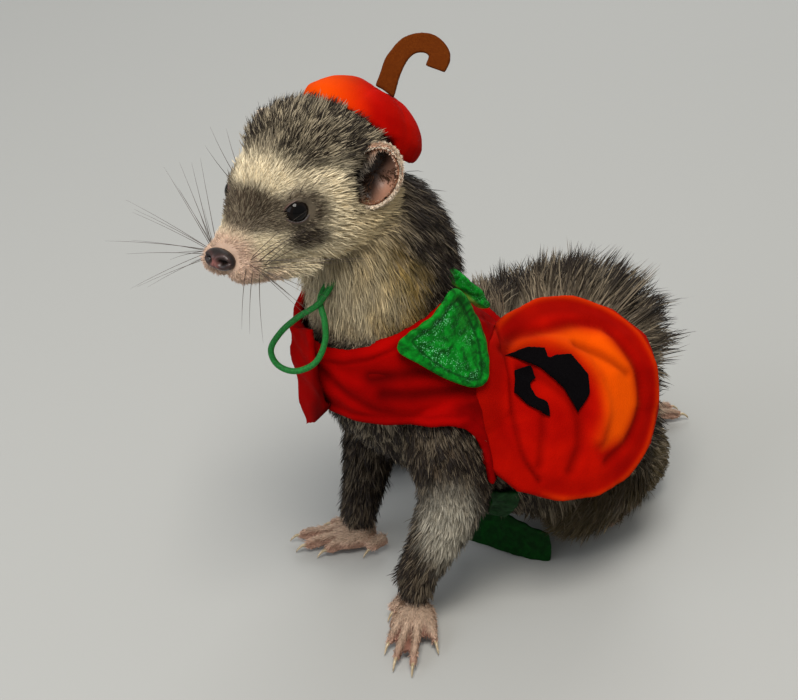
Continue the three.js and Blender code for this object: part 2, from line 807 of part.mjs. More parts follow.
const HEAD_CUT = { at: [0, -108, 152], facing: [0.2, -0.55, 0.8] };
const NECK_CUT = { at: [0, -101, 112], facing: [0, -0.3, 0.95] };
const CHEST_CUT = { at: [0, -68, 70], facing: [0, -1, 0.15] };
const TAIL_CUT = { at: [-62, -24, 16], facing: [0, -1, 0] };
const opposite = (n) => n.map((x) => -x);

// Locks of the coat spread evenly over a body, no two roots nearer than the spacing
function coatOf(body, { span, spacing, length, width, lie, skip, seed }) {
  const random = seededRandom(seed);
  const roots = [];
  const locks = [];
  for (let i = 0; i < TRIES; i++) {
    const distance = span[0] + (span[1] - span[0]) * random();
    const angle = 2 * Math.PI * random();
    const root = body.skin(distance, angle);
    const out = body.normal(distance, angle);
    const size = 0.85 + 0.3 * random();
    if (skip(root, out) || roots.some((other) => other.distanceTo(root) < spacing)) continue;
    roots.push(root);
    locks.push(lock(root, out, lie(root, out).normalize(), length(root) * size, width * size));
  }
  return locks;
}

function thighCoat() {
  return coatOf(thigh(LEFT), {
    span: [2, thigh(LEFT).length],
    spacing: 8,
    length: () => 10,
    width: 4.2,
    seed: 7,
    lie: (root, out) => new THREE.Vector3(0.1, 0.4, -1).addScaledVector(out, -0.2),
    skip: (root, out) => root.z < 12 || out.x < 0.1 || root.x < 24 || underPanel(root, out),
  });
}

const inPanelFrame = (p) => p.clone().applyMatrix4(panelFrame.clone().invert());
const underPanel = (root, out) => {
  const p = inPanelFrame(root);
  const off = Math.hypot(p.x / PANEL_RADIUS[0], p.y / PANEL_RADIUS[1]);
  return p.z > -34 && out.dot(vector(PANEL_FACING)) > -0.1 && off < 0.97;
};

function rumpCoat() {
  return coatOf(torso(), {
    span: [62, torso().length],
    spacing: 7.2,
    length: (root) => THREE.MathUtils.mapLinear(THREE.MathUtils.clamp(root.z, 42, 84), 42, 84, 10, COAT_LOCK),
    width: 4.1,
    seed: 11,
    lie: (root, out) => {
      const away = root.clone().sub(vector(PANEL_AT));
      return away.addScaledVector(out, -away.dot(out)).normalize().add(new THREE.Vector3(0, 0.5, -0.3));
    },
    skip: (root, out) => root.z < (root.x > 0 ? 13 : 32) || underPanel(root, out) || out.z < -0.8,
  });
}

function tailCoat() {
  return coatOf(tailBody(), {
    spacing: 9.5,
    span: [48, tailBody().length],
    length: () => 15,
    width: 3.6,
    seed: 5,
    lie: () => new THREE.Vector3(0, -1, -0.2),
    skip: (root, out) => root.z < 9 || out.z < -0.2 || out.x > (root.y > -30 ? -0.4 : 0.1),
  });
}

const finish = (color, roughness = 0.9) => new THREE.MeshStandardMaterial({ color, roughness });
const SABLE = finish(0x6b6258);
const CREAM = finish(0xb9a98c);
const SKIN = finish(0xc99a8c, 0.6);
const EYE = finish(0x0a0706, 0.1);
const VELOUR = finish(0xb51608);
const PUMPKIN = finish(0xd42a06);
const GREEN = finish(0x0b6a24);
const FELT = finish(0x7a4318);
const BLACK = finish(0x0c0a0a);

const model = new THREE.Group();
function place(name, shape, material) {
  const whole = solid(geometryOf(largest(shape)));
  const mesh = new THREE.Mesh(geometryOf(whole.simplify(FINEST)), material);
  mesh.name = name;
  model.add(mesh);
}

// The head, neck, chest and rump are one flesh, parted by flat cuts
const trunk = (grow = 0) => torso(grow).solid().add(neck(grow).solid());
const flesh = trunk().add(head());
const belowHead = above(flesh, opposite(HEAD_CUT.facing), HEAD_CUT.at);
const belowNeck = above(belowHead, opposite(NECK_CUT.facing), NECK_CUT.at);
const behindChest = (shape) => above(shape, opposite(CHEST_CUT.facing), CHEST_CUT.at);
const trunkRoom = trunk(GAP);
const panelRoom = panel(GAP);
const panelEdge = ellipse(PANEL_RADIUS[0] + GAP, PANEL_RADIUS[1] + GAP);
const panelWell = sheetOver(panelEdge, -GAP, PANEL_THICK + COAT_LOCK);
const vest = vestYoke().subtract(panelWell);

place("head", above(flesh, HEAD_CUT.facing, HEAD_CUT.at), CREAM);
place("nose", nose(), SKIN);
place("neck", above(belowHead, NECK_CUT.facing, NECK_CUT.at), CREAM);
place("chest", above(belowNeck, CHEST_CUT.facing, CHEST_CUT.at).subtract(panelRoom), SABLE);

const thighRoom = joined(bothSides((side) => thigh(side, 3 * GAP).solid()));
const shankRoom = joined(bothSides((side) => shank(side, 2 * GAP).solid()));
const tailRoom = tailBody(GAP).solid();
const seat = (grow = 0) =>
  ellipsoid([0, -5.5, 21.5], [21, 22, 23.6].map((r) => r + grow), { segments: [16, 12] });
const coat = joined([...rumpCoat(), ...thighCoat()]).trimByPlane([0, 0, 1], 1);
const strapRoom = bellyBand(GAP).add(strapEnd(2 * GAP));
const coatRoom = joined([vestYoke(GAP), shankRoom, tailRoom, strapRoom, ...bothSides(hindfootRoom)]);
const thighs = bothSides((side) => behindChest(thigh(side).solid()));
const rumpCore = joined([behindChest(belowNeck), standing(seat()), ...thighs]);
place("rump", rumpCore.add(behindChest(coat).subtract(coatRoom)).subtract(panelWell), SABLE);

const rumpRoom = joined([trunkRoom, thighRoom, seat(GAP)]);
const tail = standing(tailBody().solid().add(joined(tailCoat())).subtract(rumpRoom).subtract(shankRoom));
place("tail_base", above(tail, opposite(TAIL_CUT.facing), TAIL_CUT.at), SABLE);
place("tail_tip", above(tail, TAIL_CUT.facing, TAIL_CUT.at), SABLE);

const SIDES = { left: LEFT, right: RIGHT };
for (const [name, side] of Object.entries(SIDES)) {
  place(`eye_${name}`, eye(side), EYE);
  place(`ear_${name}`, ear(side).subtract(onHead(skull(GAP))), CREAM);
  const { heel, heading } = FOREFEET[side];
  const limb = foreleg(side).solid().add(foot(side, heel, heading));
  const wrist = [0, 0, WRISTS[side][2] + 1];
  place(`foreleg_${name}`, above(limb, [0, 0, 1], wrist).subtract(trunkRoom).subtract(panelRoom), SABLE);
  place(`forepaw_${name}`, above(limb, [0, 0, -1], wrist), SKIN);
  const hind = HINDFEET[side];
  place(`shank_${name}`, standing(shank(side).solid()).subtract(rumpRoom), SABLE);
  const hindfoot = foot(side, hind.heel, hind.heading, 1, 9).subtract(rumpRoom.add(shankRoom));
  place(`hindfoot_${name}`, hindfoot, SKIN);
}

place("vest_yoke", vest, VELOUR);
place("vest_flap", flap().subtract(dressed(2 * GAP + CLOTH)), VELOUR);
place("pumpkin_panel", panel(), PUMPKIN);
place("face_grin", patch(GRIN), BLACK);
place("face_patch", patch(PATCH), BLACK);
place("leaf_near", leafNear().subtract(panelRoom), GREEN);
place("leaf_back", leafBack().subtract(dressed(3 * GAP + CLOTH + LEAF_THICK)).subtract(panelRoom), GREEN);
place("belly_strap", bellyBand().subtract(panelRoom).subtract(thighRoom), GREEN);
const bodyRoom = joined([dressed(2 * GAP + STRAP_THICK), rumpRoom, shankRoom]);
place("strap_end", strapEnd().subtract(bodyRoom), GREEN);
const earRoom = bothSides((side) => onHead(earBack(side, GAP)));
const headRoom = joined([onHead(skull(3 * GAP)), neck(3 * GAP).solid(), ...earRoom]);
place("cap", cap().subtract(headRoom), PUMPKIN);
place("cap_stem", stem().subtract(cap(GAP)), FELT);
place("chin_cord", cord().subtract(dressed(GAP)).subtract(headRoom), GREEN);

export default model;
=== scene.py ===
"""The looks of a life-size sable ferret that sits up in a pumpkin fancy dress.

Sizes in the classes are millimetres in the part's own frame (the animal faces -Y, its left is +X), and
mesh_object() turns them to metres. The order of work is camera and cord, skin, coat, head details, costume.
"""

import json
import logging
import math
from dataclasses import dataclass, field
from enum import Enum
from typing import Any, ClassVar, Iterable, Sequence

import bpy
import numpy as np
from mathutils import Matrix, Vector
from mathutils.kdtree import KDTree

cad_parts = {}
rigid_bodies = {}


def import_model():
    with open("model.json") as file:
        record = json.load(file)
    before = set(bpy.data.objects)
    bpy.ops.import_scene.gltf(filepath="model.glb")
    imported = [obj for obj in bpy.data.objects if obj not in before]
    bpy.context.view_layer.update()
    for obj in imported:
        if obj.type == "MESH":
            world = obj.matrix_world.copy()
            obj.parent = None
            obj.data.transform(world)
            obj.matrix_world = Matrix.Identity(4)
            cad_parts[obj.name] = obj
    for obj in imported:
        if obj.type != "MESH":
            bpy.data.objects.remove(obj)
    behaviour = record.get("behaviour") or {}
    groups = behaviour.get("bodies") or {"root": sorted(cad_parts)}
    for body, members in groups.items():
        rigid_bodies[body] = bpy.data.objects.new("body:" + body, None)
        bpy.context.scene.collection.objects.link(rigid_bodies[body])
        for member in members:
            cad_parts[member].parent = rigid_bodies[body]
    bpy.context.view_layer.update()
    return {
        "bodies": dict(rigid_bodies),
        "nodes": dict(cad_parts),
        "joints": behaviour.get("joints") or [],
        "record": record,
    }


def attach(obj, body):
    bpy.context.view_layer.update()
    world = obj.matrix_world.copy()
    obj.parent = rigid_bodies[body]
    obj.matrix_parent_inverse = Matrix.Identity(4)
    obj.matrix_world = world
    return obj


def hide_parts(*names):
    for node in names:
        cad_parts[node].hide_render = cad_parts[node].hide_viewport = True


log = logging.getLogger("ferret")

MM = 0.001
IMAGE_SIZE = (798, 700)
BAKE_MAP = "OFBake"
TUFT_PATCH = 0.003
FAR_OFF = 99.0

Array = np.ndarray


# Small mathematics

def unit(v: Array) -> Array:
    """Vectors of length one along the last axis."""
    return v / np.maximum(np.linalg.norm(v, axis=-1, keepdims=True), 1e-9)


def ramp(x: Array, low: float, high: float) -> Array:
    """A smooth step from 0 at low to 1 at high."""
    t = np.clip((x - low) / (high - low), 0, 1)
    return t * t * (3 - 2 * t)


def bump(x: Array, centre: float, reach: float) -> Array:
    """A bell of height one at the centre that is nearly gone two reaches away."""
    return np.exp(-(((x - centre) / reach) ** 2))


def mix(a: Array, b: Array, share: Array | float) -> Array:
    """a where share is 0, b where it is 1, for rows of colours or points."""
    return a + (b - a) * np.asarray(share)[..., None]


def dots(a: Array, b: Array) -> Array:
    """The product of each row of one table with the same row of another."""
    return np.einsum("ij,ij->i", a, b)


def hex_linear(code: str) -> tuple[float, float, float, float]:
    """Turns an sRGB hex colour into the linear colour that shaders take.

    Args:
        code: six hex digits.
    Returns:
        Linear red, green, blue and an alpha of one.
    """
    parts = [int(code[i:i + 2], 16) / 255 for i in (0, 2, 4)]
    linear = [c / 12.92 if c <= 0.04045 else ((c + 0.055) / 1.055) ** 2.4 for c in parts]
    return (*linear, 1.0)


def rgb(code: str) -> Array:
    """The linear red, green and blue of an sRGB hex colour."""
    return np.array(hex_linear(code)[:3])


def spline(table: Sequence[Sequence[float]], steps: int = 24, closed: bool = False) -> Array:
    """A smooth line through rows of numbers.

    Args:
        table: the rows that the line passes through.
        steps: how many pieces each span is split into.
        closed: whether the line returns to its first row.
    Returns:
        The rows along the line.
    """
    rows = np.array(table, float)
    if closed:
        rows = np.vstack([rows[-1:], rows, rows[:2]])
    else:
        rows = np.vstack([2 * rows[:1] - rows[1:2], rows, 2 * rows[-1:] - rows[-2:-1]])
    t = np.linspace(0, 1, steps, endpoint=False)[:, None]
    spans = []
    for a, b, c, d in zip(rows, rows[1:], rows[2:], rows[3:]):
        spans.append(0.5 * (2 * b + (c - a) * t + (2 * a - 5 * b + 4 * c - d) * t ** 2
                            + (3 * b - a - 3 * c + d) * t ** 3))
    made = np.vstack(spans)
    return made if closed else np.vstack([made, rows[-2]])


def resampled(line: Array, count: int) -> Array:
    """The same line with count points an even distance apart."""
    gaps = np.linalg.norm(np.diff(line[:, :3], axis=0), axis=1)
    at = np.concatenate([[0], np.cumsum(gaps)])
    return np.stack([np.interp(np.linspace(0, at[-1], count), at, column) for column in line.T], axis=1)


def turned(axis: str, degrees: float) -> Array:
    """A turn about an axis as a matrix."""
    return np.array(Matrix.Rotation(math.radians(degrees), 4, axis))


def shifted(by: Sequence[float]) -> Array:
    """A shift as a matrix."""
    return np.array(Matrix.Translation(by))


def moved(points: Array, place: Array) -> Array:
    """Points taken through a matrix."""
    return points @ place[:3, :3].T + place[:3, 3]


def frame_facing(facing: Sequence[float], along: Sequence[float]) -> Array:
    """Rows x, y, z of a frame whose z faces a direction and whose x is as near as can be to another."""
    z = unit(np.array(facing, float))
    x = unit(np.array(along, float) - z * (z @ np.array(along, float)))
    return np.stack([x, np.cross(z, x), z])


@dataclass(frozen=True)
class Plane:
    """A frame in which a piece lies flat: its place on the model, and rows of axes, the last facing out."""

    at: Sequence[float]
    axes: Array

    def flat(self, points: Array) -> Array:
        """Points of the model in this frame."""
        return (points - np.array(self.at)) @ self.axes.T

    def back(self, flat: Array) -> Array:
        """Points of this frame in the model."""
        return flat @ self.axes + np.array(self.at)

    def shift(self, aside: float, up: float, out: float) -> tuple[float, ...]:
        """A shift along this frame's axes as a shift in the model."""
        return tuple(np.array((aside, up, out)) @ self.axes)


def outline_distance(points: Array, outline: Array) -> Array:
    """How far flat points lie from a closed outline.

    Args:
        points: rows of two numbers.
        outline: the corners in order.
    Returns:
        Distances, below zero inside the outline.
    """
    best = np.full(len(points), 1e9)
    inside = np.zeros(len(points), bool)
    for a, b in zip(outline, np.roll(outline, -1, axis=0)):
        edge = b - a
        t = np.clip(((points - a) @ edge) / max(edge @ edge, 1e-9), 0, 1)
        best = np.minimum(best, np.linalg.norm(points - a - t[:, None] * edge, axis=1))
        crosses = (a[1] > points[:, 1]) != (b[1] > points[:, 1])
        level = np.where(crosses, (points[:, 1] - a[1]) / (b[1] - a[1] + 1e-12), 0)
        inside ^= crosses & (points[:, 0] < a[0] + level * edge[0])
    return np.where(inside, -best, best)


def line_distance(points: Array, line: Array, reach: float) -> Array:
    """The distance of points to the points of a line, and a large number for those out of its reach."""
    made = np.full(len(points), FAR_OFF)
    near = np.all((points > line.min(axis=0) - reach) & (points < line.max(axis=0) + reach), axis=1)
    made[near] = np.min(np.linalg.norm(points[near][:, None] - line[None], axis=2), axis=1)
    return made


def search_tree(points: Array, numbers: Iterable[int]) -> KDTree:
    """A tree that finds the nearest of some numbered points."""
    tree = KDTree(len(points))
    for number, point in zip(numbers, points):
        tree.insert(point, int(number))
    tree.balance()
    return tree


# Meshes

def mesh_object(name: str, points: Array, faces: Array, smooth: bool = True) -> bpy.types.Object:
    """Makes a mesh object from arrays.

    Args:
        name: the piece's name.
        points: corners in millimetres.
        faces: rows of three or four corner numbers.
        smooth: whether the shading is smooth.
    Returns:
        The new object, linked to the scene.
    """
    mesh = bpy.data.meshes.new(name)
    mesh.vertices.add(len(points))
    mesh.vertices.foreach_set("co", (np.asarray(points, float) * MM).astype(np.float32).ravel())
    count, sides = faces.shape
    mesh.loops.add(count * sides)
    mesh.loops.foreach_set("vertex_index", faces.astype(np.int32).ravel())
    mesh.polygons.add(count)
    mesh.polygons.foreach_set("loop_start", np.arange(0, count * sides, sides, dtype=np.int32))
    mesh.polygons.foreach_set("use_smooth", np.full(count, smooth))
    mesh.update(calc_edges=True)
    made = bpy.data.objects.new(name, mesh)
    bpy.context.scene.collection.objects.link(made)
    return made


def colour_points(piece: bpy.types.Object, name: str, values: Array) -> None:
    """Stores a linear colour for each corner of a mesh."""
    layer = piece.data.attributes.new(name, "FLOAT_COLOR", "POINT")
    rows = np.column_stack([values, np.ones(len(values))])
    layer.data.foreach_set("color", rows.astype(np.float32).ravel())


def number_points(piece: bpy.types.Object, name: str, values: Array) -> None:
    """Stores a number for each corner of a mesh."""
    layer = piece.data.attributes.new(name, "FLOAT", "POINT")
    layer.data.foreach_set("value", np.asarray(values, np.float32))


def read_array(items: Any, name: str, width: int, kind: type = np.float32) -> Array:
    """A property of a mesh's corners or loops in one row, with width numbers for each."""
    made = np.zeros(len(items) * width, kind)
    items.foreach_get(name, made)
    return made


def map_points(piece: bpy.types.Object, places: Array) -> None:
    """Gives a mesh its UV map from a place for each corner."""
    corners = read_array(piece.data.loops, "vertex_index", 1, np.int32)
    layer = piece.data.uv_layers.new(name=BAKE_MAP)
    layer.data.foreach_set("uv", places[corners].astype(np.float32).ravel())


def grid_faces(rows: int, columns: int, closed: bool) -> Array:
    """Quads over a grid of corners numbered row by row."""
    i, j = np.meshgrid(np.arange(rows - 1), np.arange(columns if closed else columns - 1), indexing="ij")
    right = (j + 1) % columns
    return np.stack([i * columns + j, i * columns + right,
                     (i + 1) * columns + right, (i + 1) * columns + j], axis=-1).reshape(-1, 4)


def triangles(quads: Array) -> Array:
    """Two triangles for each quad."""
    return np.vstack([quads[:, [0, 1, 2]], quads[:, [0, 2, 3]]])


def face_normals(points: Array, faces: Array) -> Array:
    """Normals of triangles, each as long as twice its triangle's area."""
    a, b, c = (points[faces[:, k]] for k in range(3))
    return np.cross(b - a, c - a)


def vertex_normals(points: Array, faces: Array) -> Array:
    """Smooth normals at the corners of a triangle mesh."""
    flat = face_normals(points, faces)
    total = np.zeros_like(points)
    for k in range(3):
        for axis in range(3):
            total[:, axis] += np.bincount(faces[:, k], flat[:, axis], len(points))
    return unit(total)


def relaxed(points: Array, faces: Array, rounds: int, share: Array | float = 0.5) -> Array:
    """Smooths a mesh by drawing each corner to the middle of its neighbours.

    Args:
        points: the corners.
        faces: quads or triangles.
        rounds: how many times to repeat.
        share: how far each corner goes, one number or one a corner.
    Returns:
        The new corners.
    """
    sides = faces.shape[1]
    edges = np.vstack([faces[:, [k, (k + 1) % sides]] for k in range(sides)]).astype(np.int64)
    keys = np.unique(edges.min(axis=1) * len(points) + edges.max(axis=1))
    low, high = keys // len(points), keys % len(points)
    count = (np.bincount(low, minlength=len(points)) + np.bincount(high, minlength=len(points)))[:, None]
    made = points.copy()
    weight = np.broadcast_to(np.asarray(share, float).reshape(-1, 1), (len(points), 1))
    for _ in range(rounds):
        total = np.empty_like(made)
        for axis in range(made.shape[1]):
            total[:, axis] = (np.bincount(low, made[high, axis], len(points))
                              + np.bincount(high, made[low, axis], len(points)))
        made += weight * (total / np.maximum(count, 1) - made)
    return made


def joined(meshes: Sequence[tuple[Array, Array]]) -> tuple[Array, Array]:
    """Several meshes as one, with the corner numbers of each counted on."""
    starts = np.cumsum([0] + [len(points) for points, _ in meshes])
    faces = [each + start for (_, each), start in zip(meshes, starts)]
    return np.vstack([points for points, _ in meshes]), np.vstack(faces)


def capped(rings: Array, poles: Array, sides: int) -> tuple[Array, Array]:
    """Closes a stack of rings with a fan of triangles at each end.

    Args:
        rings: the rings' points, ring by ring.
        poles: the two points that the fans meet at.
        sides: how many points a ring has.
    Returns:
        Corners and triangles.
    """
    count = len(rings) // sides
    i = np.arange(sides)
    j = (i + 1) % sides
    start = (count - 1) * sides
    low, high = np.full_like(i, len(rings)), np.full_like(i, len(rings) + 1)
    faces = [triangles(grid_faces(count, sides, True)), np.column_stack([j, i, low]),
             np.column_stack([start + i, start + j, high])]
    return np.vstack([rings, poles]), np.vstack(faces)


def voxel_union(meshes: Sequence[tuple[Array, Array]], size: float) -> tuple[Array, Array]:
    """Melts closed meshes that overlap into one even surface.

    Args:
        meshes: corners and triangles of each, in millimetres.
        size: the edge of a voxel in millimetres.
    Returns:
        Corners and quads of the new surface.
    """
    rough = mesh_object("rough", *joined(meshes))
    remesh = rough.modifiers.new("Remesh", "REMESH")
    remesh.mode = "VOXEL"
    remesh.voxel_size = size * MM
    shaped = rough.evaluated_get(bpy.context.evaluated_depsgraph_get()).to_mesh()
    points = read_array(shaped.vertices, "co", 3)
    quads = read_array(shaped.loops, "vertex_index", 1, np.int32)
    bpy.data.objects.remove(rough)
    return points.reshape(-1, 3).astype(float) / MM, quads.reshape(-1, 4)


# Forms of the body, with the sizes of the solids

@dataclass
class OvalForm:
    """A closed form of oval sections along a smooth line.

    A station is x, y, z, half width, rise and drop: its centre, how far the section reaches to each side,
    and how far up the back and down the belly. A square over 2 fills its corners out.
    """

    stations: Sequence[Sequence[float]]
    across: Sequence[float] = (1, 0, 0)
    square: float = 2.0
    ends: tuple[float, float] = (8.0, 8.0)
    grow: float = 0.0
    rows: int = 36
    sides: int = 36

    def __post_init__(self) -> None:
        """Works out the smooth line and its length."""
        self.fine = spline(self.stations)
        gaps = np.linalg.norm(np.diff(self.fine[:, :3], axis=0), axis=1)
        self.distance = np.concatenate([[0], np.cumsum(gaps)])
        self.length = float(self.distance[-1])

    def section(self, at: Array) -> tuple[Array, ...]:
        """Centres, reaches, sides, backs and tangents at distances along the line."""
        behind, values, ahead = (
            np.stack([np.interp(at + step, self.distance, column) for column in self.fine.T], axis=1)
            for step in (-0.5, 0, 0.5))
        tangent = unit(ahead[:, :3] - behind[:, :3])
        across = np.array(self.across, float)
        side = unit(across - tangent * (tangent @ across)[:, None])
        return values[:, :3], values[:, 3:], side, np.cross(side, tangent), tangent

    def surface(self, at: Array, angle: Array, share: Array) -> Array:
        """Points at distances along the line and angles round it."""
        centre, reach, side, back, _ = self.section(at)
        tall = np.where(np.sin(angle) > 0, reach[:, 1], reach[:, 2])
        wide, high = (np.sign(turn) * np.abs(turn) ** (2 / self.square) * (size + self.grow) * share
                      for turn, size in ((np.cos(angle), reach[:, 0]), (np.sin(angle), tall)))
        return centre + side * wide[:, None] + back * high[:, None]

    def rings(self) -> tuple[Array, Array]:
        """Where the rings lie along the line, and their share of the full section."""
        first, last = self.ends
        turn = np.linspace(0, math.pi / 2, 8, endpoint=False)[1:]
        middle = np.linspace(first, self.length - last, self.rows)
        end = self.length - last * (1 - np.cos(turn[::-1]))
        at = np.concatenate([first * (1 - np.cos(turn)), middle, end])
        return at, np.concatenate([np.sin(turn), np.ones(self.rows), np.sin(turn[::-1])])

    def grid(self) -> tuple[Array, Array, Array]:
        """Ring points with their distance along the line and angle round it."""
        places, shares = self.rings()
        angle = np.linspace(0, 2 * math.pi, self.sides, endpoint=False)
        at = np.repeat(places, self.sides)
        round_it = np.tile(angle, len(places))
        return self.surface(at, round_it, np.repeat(shares, self.sides)), at, round_it

    def mesh(self) -> tuple[Array, Array]:
        """The closed surface as corners and triangles."""
        centre, _, _, _, tangent = self.section(np.array([0.0, self.length]))
        poles = centre + tangent * np.array([[-self.grow], [self.grow]])
        return capped(self.grid()[0], poles, self.sides)


@dataclass
class BallForm:
    """An ellipsoid."""

    centre: Sequence[float]
    radii: Sequence[float]
    rows: int = 20
    sides: int = 28
    grow: float = 0.0

    def grid(self) -> tuple[Array, Array, Array]:
        """Points with their turn from the pole and angle round it."""
        turn = np.linspace(0, math.pi, self.rows)[1:-1]
        angle = np.linspace(0, 2 * math.pi, self.sides, endpoint=False)
        t, a = (x.ravel() for x in np.meshgrid(turn, angle, indexing="ij"))
        spots = np.stack([np.cos(a) * np.sin(t), -np.cos(t), np.sin(a) * np.sin(t)], axis=1)
        return np.array(self.centre) + spots * (np.array(self.radii) + self.grow), t, a

    def mesh(self) -> tuple[Array, Array]:
        """The closed surface as corners and triangles."""
        pole = np.array([0, self.radii[1] + self.grow, 0])
        poles = np.array(self.centre) + np.stack([-pole, pole])
        return capped(self.grid()[0], poles, self.sides)


def outward(mesh: tuple[Array, Array]) -> tuple[Array, Array]:
    """The same closed mesh with its faces turned out."""
    points, faces = mesh
    a, b, c = (points[faces[:, k]] for k in range(3))
    volume = np.einsum("ij,ij->i", a, np.cross(b, c)).sum()
    return (points, faces) if volume > 0 else (points, faces[:, ::-1])


class Side(Enum):
    """The animal's own sides."""

    LEFT = 1
    RIGHT = -1

    @property
    def word(self) -> str:
        """The side as the names of pieces and nodes have it."""
        return self.name.lower()

    def mirrored(self, place: Sequence[float]) -> Array:
        """A place or direction given for the left, on this side."""
        return np.array(place) * (self.value, 1, 1)


class PartKind(Enum):
    """The parts of the body that the coat tells apart."""

    TRUNK = 0
    NECK = 1
    HEAD = 2
    EAR = 3
    FORELEG = 4
    HINDLEG = 5
    PAW = 6
    TAIL = 7


@dataclass
class Part:
    """One form of the flesh, which part of the body it belongs to and the frame that places it."""

    kind: PartKind
    form: OvalForm | BallForm
    place: Array = field(default_factory=lambda: np.eye(4))


# Driving sizes of the animal, in millimetres

HEAD_AT = (-1, -125, 162)
HEAD_PITCH = -3
HEAD_YAW = 26
EYE_RADIUS = 4.2
EYE_AT = (12.4, -25.2, 4.1)
EYE_FACING = (0.86, -0.47, 0.2)
EYE_SPOT = tuple(np.array(EYE_AT) - 1.3 * unit(np.array(EYE_FACING)))
EAR_AT = (21.5, 1, 6)
NOSE_AT = (0, -46.4, -7.2)
SKIN_VOXEL = 0.8

TORSO = [
    (0, -104, 124, 25, 24, 23), (0, -103, 108, 29, 29, 30), (0, -98, 90, 32, 30, 31),
    (0, -82, 73, 34, 32, 31), (0, -61, 61, 37, 36, 39), (0, -39, 55, 38.5, 43, 44),
    (0, -20, 52, 35, 39, 42), (0, -8, 50, 25, 30, 34),
]
NECK = [
    (-6, -117, 168, 20, 18, 18), (-4, -112, 154, 23, 20, 23), (-1, -106, 139, 25, 24, 27),
    (0, -103, 122, 27, 26, 28), (0, -101, 106, 28, 27, 28),
]
SKULL = [
    (0, -46, -8, 6, 5, 5), (0, -41, -7.5, 8.5, 7.5, 7), (0, -34, -6, 11, 9.5, 8.5),
    (0, -27, -4, 14.5, 14.5, 12), (0, -19, -2, 19, 21.5, 16), (0, -8, -1, 23, 27.5, 19),
    (0, 5, -1, 24.5, 26.5, 21), (0, 18, -4, 23, 20, 20),
]
JAW = [
    (0, -40.5, -15, 5, 4, 3.2), (0, -34, -15.5, 8, 5, 4), (0, -25, -16, 12, 8, 5), (0, -14, -16, 16, 10, 6),
]
MOUTH = [(0.2, -46, -15), (5, -44.8, -14.6), (9.4, -38.4, -14), (12.4, -31.5, -13), (14.2, -26, -12)]
TAIL = [
    (-6, -10, 44, 11, 10, 10), (-24, 0, 36, 12, 11, 11), (-47, -4, 24, 12, 12, 12),
    (-62, -22, 16, 11, 11, 12), (-66, -52, 13, 9, 9, 10), (-58, -80, 10, 5, 5, 6),
]
WRISTS = {Side.LEFT: (27, -108, 12), Side.RIGHT: (-21, -107, 12)}
THIGHS = {
    Side.LEFT: [(15, -18, 48, 15, 17, 17), (21, -27, 36, 16, 18, 18), (22, -40, 26, 14, 14, 15),
                (18, -48, 19, 10, 10, 11)],
    Side.RIGHT: [(-15, -16, 50, 15, 17, 17), (-24, -22, 38, 16, 18, 18), (-30, -28, 24, 13, 13, 14),
                 (-32, -30, 16, 10, 10, 11)],
}
SHANKS = {
    Side.LEFT: [(16, -40, 14, 8, 9, 9), (14, -26, 11, 8, 8, 8), (12, -14, 9, 7, 7, 7)],
    Side.RIGHT: [(-33, -22, 15, 9, 10, 10), (-35, -8, 12, 9, 9, 10), (-37, 6, 10, 8, 8, 8),
                 (-37, 18, 8, 7, 6, 7)],
}


@dataclass(frozen=True)
class FootPlace:
    """Where a foot stands: its heel on the floor and the way it points."""

    heel: tuple[float, float]
    heading: float
    side: Side
    heel_back: float = 6

    def matrix(self) -> Array:
        """The foot's own frame, which points along +X from the heel."""
        return shifted((*self.heel, 0)) @ turned("Z", self.heading)


FEET = {
    "forepaw_left": FootPlace((31, -112), -36, Side.LEFT),
    "forepaw_right": FootPlace((-21, -108), -114, Side.RIGHT),
    "hindfoot_left": FootPlace((11, -12), -94, Side.LEFT, 9),
    "hindfoot_right": FootPlace((-37.5, 20.6), 74, Side.RIGHT, 9),
}


@dataclass(frozen=True)
class Toe:
    """One toe: how far out it starts, from where along the foot, its length and how it splays."""

    out: float
    start: float
    length: float
    turn: float

    def spot(self, along: float, height: float, side: Side) -> tuple[float, float, float]:
        """A point above the toe's line in the foot's frame."""
        c, s = math.cos(math.radians(self.turn)), math.sin(math.radians(self.turn))
        return self.start + along * c, side.value * (self.out + along * s), height

    def across(self, side: Side) -> tuple[float, float, float]:
        """The direction across the toe."""
        return -math.sin(math.radians(self.turn)) * side.value, math.cos(math.radians(self.turn)), 0


TOES = [Toe(-6.6, -6, 3, -32), Toe(-4.8, 4, 9.5, -16), Toe(-1.8, 7, 14, -8), Toe(1.9, 8, 15, 2),
        Toe(5.2, 3.5, 8, 24)]


def toe_gaps(points: Array) -> Array:
    """The share of groove between the toes at some points, which come in the model's frame; the markings
    paint shade there.
    """
    deepest = np.zeros(len(points))
    for foot in FEET.values():
        x, y, z = moved(points, np.linalg.inv(foot.matrix())).T
        off = np.full(len(points), FAR_OFF)
        for toe in TOES[1:]:
            slant = math.tan(math.radians(toe.turn))
            off = np.minimum(off, np.abs(y - foot.side.value * (toe.out + (x - toe.start) * slant)))
        on_foot = ramp(x, 5, 9) * (np.abs(y) < 12) * (x < 26) * (z < 10)
        deepest = np.maximum(deepest, ramp(off, 0.9, 1.7) * on_foot)
    return deepest


WHISKERS = [
    ((0.85, -0.25, 0.35), 43), ((0.8, -0.35, 0.05), 38), ((0.75, 0.1, 0.65), 38), ((0.6, 0.3, 0.74), 34),
    ((0.55, -0.75, -0.22), 30), ((0.78, 0.6, 0.1), 42), ((0.85, 0.2, -0.3), 34),
]
ATLAS_SIDE = 7
CELL_EDGE = 0.04
CELL_SPAN = 0.92
EAR_CELLS = {Side.LEFT: (5, 6), Side.RIGHT: (6, 6)}

HEAD_PLACE = shifted(HEAD_AT) @ turned("Z", HEAD_YAW) @ turned("X", HEAD_PITCH)


